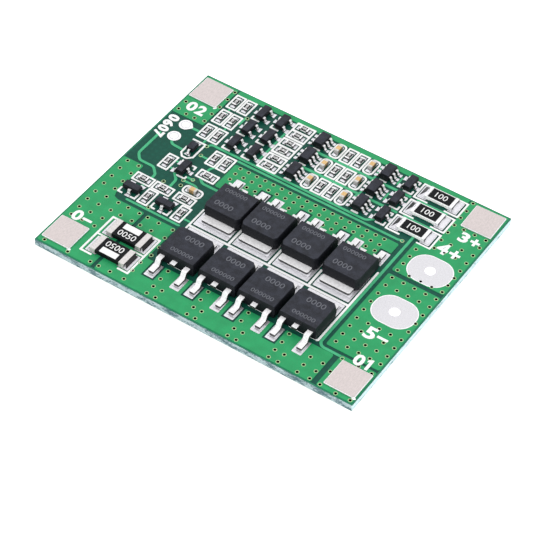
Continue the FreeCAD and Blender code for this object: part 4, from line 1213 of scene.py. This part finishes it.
def lead_side(points, thickness, bend):
    """Side outline of a bent lead, given the line of its underside."""
    lower = [Vector(point) for point in points]
    upper = []
    for index, point in enumerate(lower):
        normals = []
        if index > 0:
            along = (point - lower[index - 1]).normalized()
            normals.append(Vector((-along.y, along.x)))
        if index < len(lower) - 1:
            along = (lower[index + 1] - point).normalized()
            normals.append(Vector((-along.y, along.x)))
        middle = sum(normals, Vector((0, 0))).normalized()
        upper.append(point + middle * thickness / max(middle.dot(normals[0]), 0.3))
    outline = []
    for path in (lower, upper[::-1]):
        outline.append(tuple(path[0]))
        for before, corner, after in zip(path, path[1:], path[2:]):
            outline += arc_points(before, corner, after, bend, 4)
        outline.append(tuple(path[-1]))
    return outline


# Power transistors, with x across their leads and y towards them

MOULDING_OUTLINE = [(-2.85, -3.05), (2.85, -3.05), (3.3, -2.45), (3.3, 3.05), (-3.3, 3.05), (-3.3, -2.45)]
# Heights of the moulding's underside, parting line and top over the pad
MOULDING_LOW = 0.02
MOULDING_PARTING = 1.2
MOULDING_HIGH = 2.29
# Each row of laser-marked noughts: the text, the length and width it fills, and its middle
LASER_MARKS = [("0000", (3.2, 1.0), (-0.5, -1.3)), ("000000", (3.9, 0.75), (-0.3, 1.75))]
FRAME_THICKNESS = 0.5
DRAIN_PLATE = span_loop(-2.65, 2.65, -4.3, 1.5)
LEAD_HALF_WIDTH = 0.45
LEAD_EXIT = 0.95
# The underside of a lead from inside the moulding to its foot, by y and height
LEAD_PATH = [(2.5, LEAD_EXIT), (3.68, LEAD_EXIT), (4.2, 0.0), (5.95, 0.0)]
STUB_SIDE = span_loop(2.5, 3.85, LEAD_EXIT, LEAD_EXIT + FRAME_THICKNESS)
# Solder at the leads' feet and on the drain plate: its middle along y, then its length and width
FOOT_SOLDER = (5.25, 1.25, 1.75)
DRAIN_SOLDER = (-2.8, 5.85, 3.5)


class BOARD_OT_power_transistors(bpy.types.Operator):
    """Eight moulded power transistors and their lead frames"""
    bl_idname = "battery_board.power_transistors"
    bl_label = "Power transistors"

    def execute(self, context):
        sizes = sizes_of("part_sizes")
        body = plate("mosfet_model", [MOULDING_OUTLINE], MOULDING_LOW, MOULDING_HIGH)
        split_at(body, MOULDING_PARTING)
        taper(body, MOULDING_HIGH, 0.935, 0.93)
        taper(body, MOULDING_LOW, 0.968, 0.966)
        bevelled(body, sizes["mosfet_round"], 3, 40)
        painted(body, MATERIALS["epoxy"])
        marks = []
        for text, fill, middle in LASER_MARKS:
            mark = lettering(text, 0.8, MOULDING_HIGH - 0.01, MOULDING_HIGH + 0.008)
            marks.append(placed(fitted(mark, *fill), *middle, 180))
        marks = painted(joined(marks, "marks"), MATERIALS["laser_mark"])
        body = joined([body, marks], "mosfet_model")

        half = LEAD_HALF_WIDTH
        parts = [plate("tab", [rounded(DRAIN_PLATE, 0.35, 4)], 0.0, FRAME_THICKNESS, 0.05)]
        for side in (-1, 1):
            profile = lead_side(LEAD_PATH, FRAME_THICKNESS, 0.25)
            lead = upright(plate("lead", [profile], -half, half, sizes["lead_round"]))
            parts.append(placed(lead, side * LEAD_OFFSET, 0))
        parts.append(upright(plate("stub", [STUB_SIDE], -half, half, sizes["lead_round"])))
        lead_frame = painted(joined(parts, "frame_model"), MATERIALS["leads"])

        feet = [solder_mound("foot_solder", box_loop(side * LEAD_OFFSET, *FOOT_SOLDER), SUNK, 0.1, 0.25)
                for side in (-1, 1)]
        feet.append(solder_mound("tab_solder", box_loop(0, *DRAIN_SOLDER), SUNK, 0.12, 0.3))
        solder = painted(joined(feet, "solder_model"), MATERIALS["solder"])
        lead_frame = joined([lead_frame, solder], "frame_model")

        set_out(MOSFET_PLACES, (body, "power_moulding_{}", "moulding", "mosfet_{}_body", 35),
                (lead_frame, "power_lead_frame_{}", "lead_plate", "mosfet_{}_lead_frame", 35))
        return {"FINISHED"}


# Chip parts

# Sizes, finishes, print and end fillets of the wrapped resistors. A fillet has its reach and rise, and the
# share of each that belongs to its thin foot
WRAPPED_RESISTORS = {
    "shunt": {
        "places": SHUNTS, "sizes": (6.3, 3.2, 0.8, 1.0), "film_width": 3.16,
        "core": "film", "caps": "caps", "digits": "0050", "fill": (3.1, 1.12), "middle": (0.0, -0.6),
        "fillets": ((0.5, 0.42, 0.15, 0.05), (0.5, 0.42, 0.15, 0.05)),
    },
    "balance_resistor": {
        "places": RAISED_RESISTORS, "sizes": (5.0, 2.5, 0.62, 0.54), "film_width": 2.1,
        "core": "alumina", "caps": "white_ends", "digits": "100", "fill": (2.0, 1.12), "middle": (0.0, 0.0),
        "fillets": ((0.92, 0.6, 0.1, 0.0), (0.8, 0.22, 0.5, 0.35)),
    },
}
# The white bar printed over a shunt's value
SHUNT_BAR = span_loop(-1.5, 1.5, 0.3, 1.42)

CHIP_LENGTH = 1.6
CHIP_WIDTH = 0.8
# Length, width, lower and upper height of a chip resistor's core and coat, and of a chip capacitor
CHIP_CORE = (1.5, 0.76, 0.02, 0.4)
CHIP_COAT = (0.98, 0.78, 0.3, 0.44)
CHIP_CAPACITOR = (1.1, 0.78, 0.02, 0.78)
# Height, length and rounding of the small chips' terminals
CHIP_RESISTOR_TERMINAL = (0.45, 0.32, 0.05)
CHIP_CAPACITOR_TERMINAL = (0.8, 0.42, 0.07)


def cap_ends(length, width, height, terminal, rounding):
    """The two terminals that wrap a chip's ends."""
    cap = bevelled(cuboid("cap", terminal, width, 0.0, height, length / 2 - terminal / 2), rounding)
    return [cap, copied(cap, "cap", 0, 0, 180)]


class BOARD_OT_wrapped_resistors(bpy.types.Operator):
    """Current shunts and balance resistors"""
    bl_idname = "battery_board.wrapped_resistors"
    bl_label = "Shunts and balance resistors"

    def execute(self, context):
        for name, kind in WRAPPED_RESISTORS.items():
            length, width, height, terminal = kind["sizes"]
            core = bevelled(cuboid("core", length - 0.16, width - 0.04, 0.06, height - 0.06), 0.04)
            painted(core, MATERIALS[kind["core"]])
            film_sizes = (length - 2 * terminal - 0.1, kind["film_width"])
            film = bevelled(cuboid("film", *film_sizes, height - 0.1, height - 0.015), 0.03)
            painted(film, MATERIALS["film"])
            digits = lettering(kind["digits"], kind["fill"][1], height - 0.02, height - 0.004)
            marks = [placed(fitted(digits, *kind["fill"]), *kind["middle"])]
            if name == "shunt":
                marks.append(plate("bar", [SHUNT_BAR], height - 0.02, height - 0.006))
            marks = painted(joined(marks, "marks"), MATERIALS["digit"])
            body = joined([core, film, marks], f"{name}_model")

            caps = cap_ends(length, width, height, terminal, 0.08)
            # Each fillet climbs from its foot to the end's wall
            fillets = []
            for side, (reach, rise, foot, toe) in zip((-1, 1), kind["fillets"]):
                corners = box_loop(side * (length / 2 - 0.1), 0, 2 * reach + 0.2, width + 0.06)
                fillets.append(solder_mound("end_solder", corners, SUNK, rise, reach, foot, toe))
            caps = painted(joined(caps, "caps"), MATERIALS[kind["caps"]])
            fillets = painted(joined(fillets, "fillets"), MATERIALS["solder"])
            metal = joined([caps, fillets], f"{name}_ends")

            set_out(kind["places"], (body, f"{name}_{{}}_ceramic", "film", f"{name}_{{}}_body", 35),
                    (metal, f"{name}_{{}}_ends", "lead_plate", f"{name}_{{}}_terminals", 25))
        return {"FINISHED"}


class BOARD_OT_chips(bpy.types.Operator):
    """Small chip resistors and capacitors"""
    bl_idname = "battery_board.chips"
    bl_label = "Chip resistors and capacitors"

    def execute(self, context):
        core = painted(bevelled(cuboid("core", *CHIP_CORE), 0.03, 1), MATERIALS["alumina"])
        coat = painted(bevelled(cuboid("coat", *CHIP_COAT), 0.02, 1), MATERIALS["film"])
        marks = painted(lettering("100", 0.42, 0.43, 0.447, 0.015), MATERIALS["digit"])
        body = joined([core, coat, marks], "resistor_model")
        ends = cap_ends(CHIP_LENGTH, CHIP_WIDTH, *CHIP_RESISTOR_TERMINAL)
        metal = painted(joined(ends, "resistor_ends_model"), MATERIALS["leads"])
        places = [(*place, BOARD_TOP) for place in CHIP_RESISTORS]
        finished(spread(body, places, "resistor_ceramics"), "film", "chip_resistor_bodies")
        finished(spread(metal, places, "resistor_ends"), "lead_plate", "chip_resistor_terminals")

        body = painted(bevelled(cuboid("capacitor_model", *CHIP_CAPACITOR), 0.06), MATERIALS["capacitor"])
        ends = cap_ends(CHIP_LENGTH, CHIP_WIDTH, *CHIP_CAPACITOR_TERMINAL)
        metal = painted(joined(ends, "capacitor_ends_model"), MATERIALS["dull_ends"])
        # The upright ones sit against the far end of their pads
        places = [(x, y + (0.14 if turn else 0.0), turn, BOARD_TOP) for x, y, turn in CAPACITORS]
        finished(spread(body, places, "capacitor_ceramics"), "capacitor_ceramic", "chip_capacitor_bodies")
        finished(spread(metal, places, "capacitor_ends"), "lead_plate", "chip_capacitor_terminals")
        return {"FINISHED"}


# Small moulded packages: the length, width and height of the moulding, the width, wall, exit height and
# reach of a lead, and each lead's offset and turn
SMALL_PACKAGES = {
    "chip": ((2.86, 1.6, 1.3), (0.46, 0.78, 0.66, 0.66),
             [(step * LEAD_PITCH, turn) for turn in (0, 180) for step in (-1, 0, 1)]),
    "transistor": ((2.9, 1.3, 1.1), (0.5, 0.63, 0.52, 0.5),
                   [(0.0, 0), (-LEAD_PITCH, 180), (LEAD_PITCH, 180)]),
    "diode": ((1.3, 1.7, 1.0), (0.36, 0.83, 0.48, 0.66), [(0.0, 0), (0.0, 180)]),
}
# Height of the small mouldings' undersides over the copper
STAND_OFF = 0.14


def small_moulding(name, length, width, height):
    """A small moulded body that stands clear of the board, drafted both ways from its parting line."""
    body = cuboid(name, length, width, STAND_OFF, height)
    split_at(body, height * 0.6)
    taper(body, height, (length - 0.14) / length, (width - 0.14) / width)
    taper(body, STAND_OFF, (length - 0.18) / length, (width - 0.18) / width)
    return painted(bevelled(body, sizes_of("part_sizes")["small_round"], 2, 40), MATERIALS["epoxy"])


def small_gull(width, wall, exit_height, reach):
    """A small lead from a wall down to its foot."""
    path = [(wall - 0.1, exit_height), (wall + reach * 0.2, exit_height), (wall + reach * 0.48, 0.0),
            (wall + reach, 0.0)]
    return upright(plate("lead", [lead_side(path, 0.2, 0.1)], -width / 2, width / 2, 0.02))


def small_package(kind):
    """A small package's moulding and its leads, about the origin."""
    moulding, lead, feet = SMALL_PACKAGES[kind]
    body = small_moulding(f"{kind}_model", *moulding)
    leads = [placed(placed(small_gull(*lead), offset, 0), 0, 0, turn) for offset, turn in feet]
    return body, painted(joined(leads, f"{kind}_leads_model"), MATERIALS["leads"])


class BOARD_OT_small_mouldings(bpy.types.Operator):
    """Monitoring chips, small transistors and the diode"""
    bl_idname = "battery_board.small_mouldings"
    bl_label = "Chips, transistors and diode"

    def execute(self, context):
        body, leads = small_package("chip")
        set_out(MONITOR_CHIPS, (body, "chip_moulding_{}", "moulding", "monitor_chip_{}_body", 35),
                (leads, "chip_leads_{}", "lead_plate", "monitor_chip_{}_leads", 35))
        groups = (
            ("transistor", TRANSISTORS, "transistor_mouldings", "small_transistor_bodies",
             "transistor_leads", "small_transistor_leads"),
            ("diode", [DIODE], "diode_moulding", "diode_body", "diode_feet", "diode_leads"),
        )
        for kind, spots, body_name, body_node, leads_name, leads_node in groups:
            body, leads = small_package(kind)
            places = [(*spot, COPPER_TOP) for spot in spots]
            finished(spread(body, places, body_name), "moulding", body_node)
            finished(spread(leads, places, leads_name), "lead_plate", leads_node)
        return {"FINISHED"}


# Stage

# Each lamp's place in metres, its width in metres and its power in watts
LAMPS = {
    "overhead": ((-0.14, 0.16, 0.48), 0.85, 1.55),
    "fill": ((0.1, -0.46, 0.3), 0.4, 1.25),
    "side": ((0.52, 0.02, 0.08), 0.25, 1.0),
}
# Height of the floor in metres
FLOOR_HEIGHT = -0.0003
# The camera as fitted to the photograph: azimuth, elevation and roll in degrees, and its place in
# millimetres from the board's middle along its own right, up and back
CAMERA_ANGLES = (32.48, 46.52, 2.07)
CAMERA_PLACE = (-1.3, -4.76, 331.78)
FOCAL_PIXELS = 2199.62
PICTURE_PIXELS = 533
SENSOR_WIDTH = 36


def shown_white(tree, unseen, seen):
    """One value where a camera, mirror or glass ray arrives, and another for the light on the object."""
    path = add(tree, "ShaderNodeLightPath")
    first = reckoned(tree, "MAXIMUM", path.outputs["Is Camera Ray"], path.outputs["Is Glossy Ray"])
    either = reckoned(tree, "MAXIMUM", first, path.outputs["Is Transmission Ray"])
    return stretched(tree, either, 0, 1, unseen, seen)


class BOARD_OT_stage(bpy.types.Operator):
    """Pale floor, soft lamps and the camera"""
    bl_idname = "battery_board.stage"
    bl_label = "Stage"

    def execute(self, context):
        scene = context.scene
        scene.view_settings.view_transform = "Standard"

        select_only()
        bpy.ops.mesh.primitive_plane_add(size=4, location=(0, 0, FLOOR_HEIGHT))
        floor = context.object
        floor.name = "floor"
        material, tree, shader, place = new_material("pale_floor", (0.85, 0.85, 0.85), 0.9)
        strength = shown_white(tree, 0, 0.75)
        glow = add(tree, "ShaderNodeEmission", {"Color": (1, 1, 1, 1), "Strength": strength})
        both = add(tree, "ShaderNodeAddShader", {0: shader.outputs["BSDF"], 1: glow.outputs["Emission"]})
        tree.links.new(both.outputs["Shader"], tree.nodes["Material Output"].inputs["Surface"])
        painted(floor, material)

        world = bpy.data.worlds.new("studio")
        world.use_nodes = True
        scene.world = world
        sky = world.node_tree.nodes["Background"]
        sky.inputs["Color"].default_value = (1, 1, 1, 1)
        world.node_tree.links.new(shown_white(world.node_tree, 0.56, 1.0), sky.inputs["Strength"])

        for name, (position, width, power) in LAMPS.items():
            bpy.ops.object.light_add(type="AREA", location=position)
            lamp = context.object
            lamp.name = name
            lamp.data.shape = "SQUARE"
            lamp.data.size = width
            lamp.data.energy = power
            lamp.rotation_mode = "QUATERNION"
            lamp.rotation_quaternion = (-Vector(position)).to_track_quat("-Z", "Y")

        # The camera stands where the photograph was taken from
        azimuth, elevation, roll = (math.radians(angle) for angle in CAMERA_ANGLES)
        back = Vector((math.sin(azimuth) * math.cos(elevation), -math.cos(azimuth) * math.cos(elevation),
                       math.sin(elevation)))
        level_right = (-back).cross(Vector((0, 0, 1))).normalized()
        level_up = level_right.cross(-back)
        right = math.cos(roll) * level_right + math.sin(roll) * level_up
        up = math.cos(roll) * level_up - math.sin(roll) * level_right
        along_right, along_up, along_back = CAMERA_PLACE
        position = (along_right * right + along_up * up + along_back * back) * MM
        bpy.ops.object.camera_add(location=position)
        camera = context.object
        camera.name = "photograph_camera"
        camera.matrix_world = Matrix((
            (right.x, up.x, back.x, position.x),
            (right.y, up.y, back.y, position.y),
            (right.z, up.z, back.z, position.z),
            (0, 0, 0, 1),
        ))
        camera.data.sensor_width = SENSOR_WIDTH
        camera.data.lens = SENSOR_WIDTH * FOCAL_PIXELS / PICTURE_PIXELS
        camera.data.clip_start = 0.01
        camera.data.clip_end = 10
        scene.camera = camera
        return {"FINISHED"}


OPERATORS = (
    BOARD_OT_laminate, BOARD_OT_copper, BOARD_OT_vias, BOARD_OT_legend, BOARD_OT_pads, BOARD_OT_wire_pads,
    BOARD_OT_weld_tabs, BOARD_OT_power_transistors, BOARD_OT_wrapped_resistors, BOARD_OT_small_mouldings,
    BOARD_OT_chips, BOARD_OT_stage,
)
SETTINGS = {"board_sizes": BoardSizes, "part_sizes": PartSizes, "finishes": Finishes}


class BOARD_PT_sidebar(bpy.types.Panel):
    """The board's pieces and settings"""
    bl_idname = "BOARD_PT_sidebar"
    bl_label = "Battery management board"
    bl_space_type = "VIEW_3D"
    bl_region_type = "UI"
    bl_category = "Battery board"

    def draw(self, context):
        for operator in OPERATORS:
            self.layout.operator(operator.bl_idname)
        for name, group in SETTINGS.items():
            for setting in group.__annotations__:
                self.layout.prop(getattr(context.scene, name), setting)


def register():
    for name, group in SETTINGS.items():
        bpy.utils.register_class(group)
        setattr(bpy.types.Scene, name, bpy.props.PointerProperty(type=group))
    for item in (*OPERATORS, BOARD_PT_sidebar):
        bpy.utils.register_class(item)


def unregister():
    for item in (BOARD_PT_sidebar, *OPERATORS):
        bpy.utils.unregister_class(item)
    for name, group in SETTINGS.items():
        delattr(bpy.types.Scene, name)
        bpy.utils.unregister_class(group)


def main():
    """Build every piece and the stage."""
    register()
    MATERIALS.update(make_materials(bpy.context.scene.finishes))
    for operator in OPERATORS:
        group, name = operator.bl_idname.split(".")
        getattr(getattr(bpy.ops, group), name)()


if __name__ == "__main__":
    main()
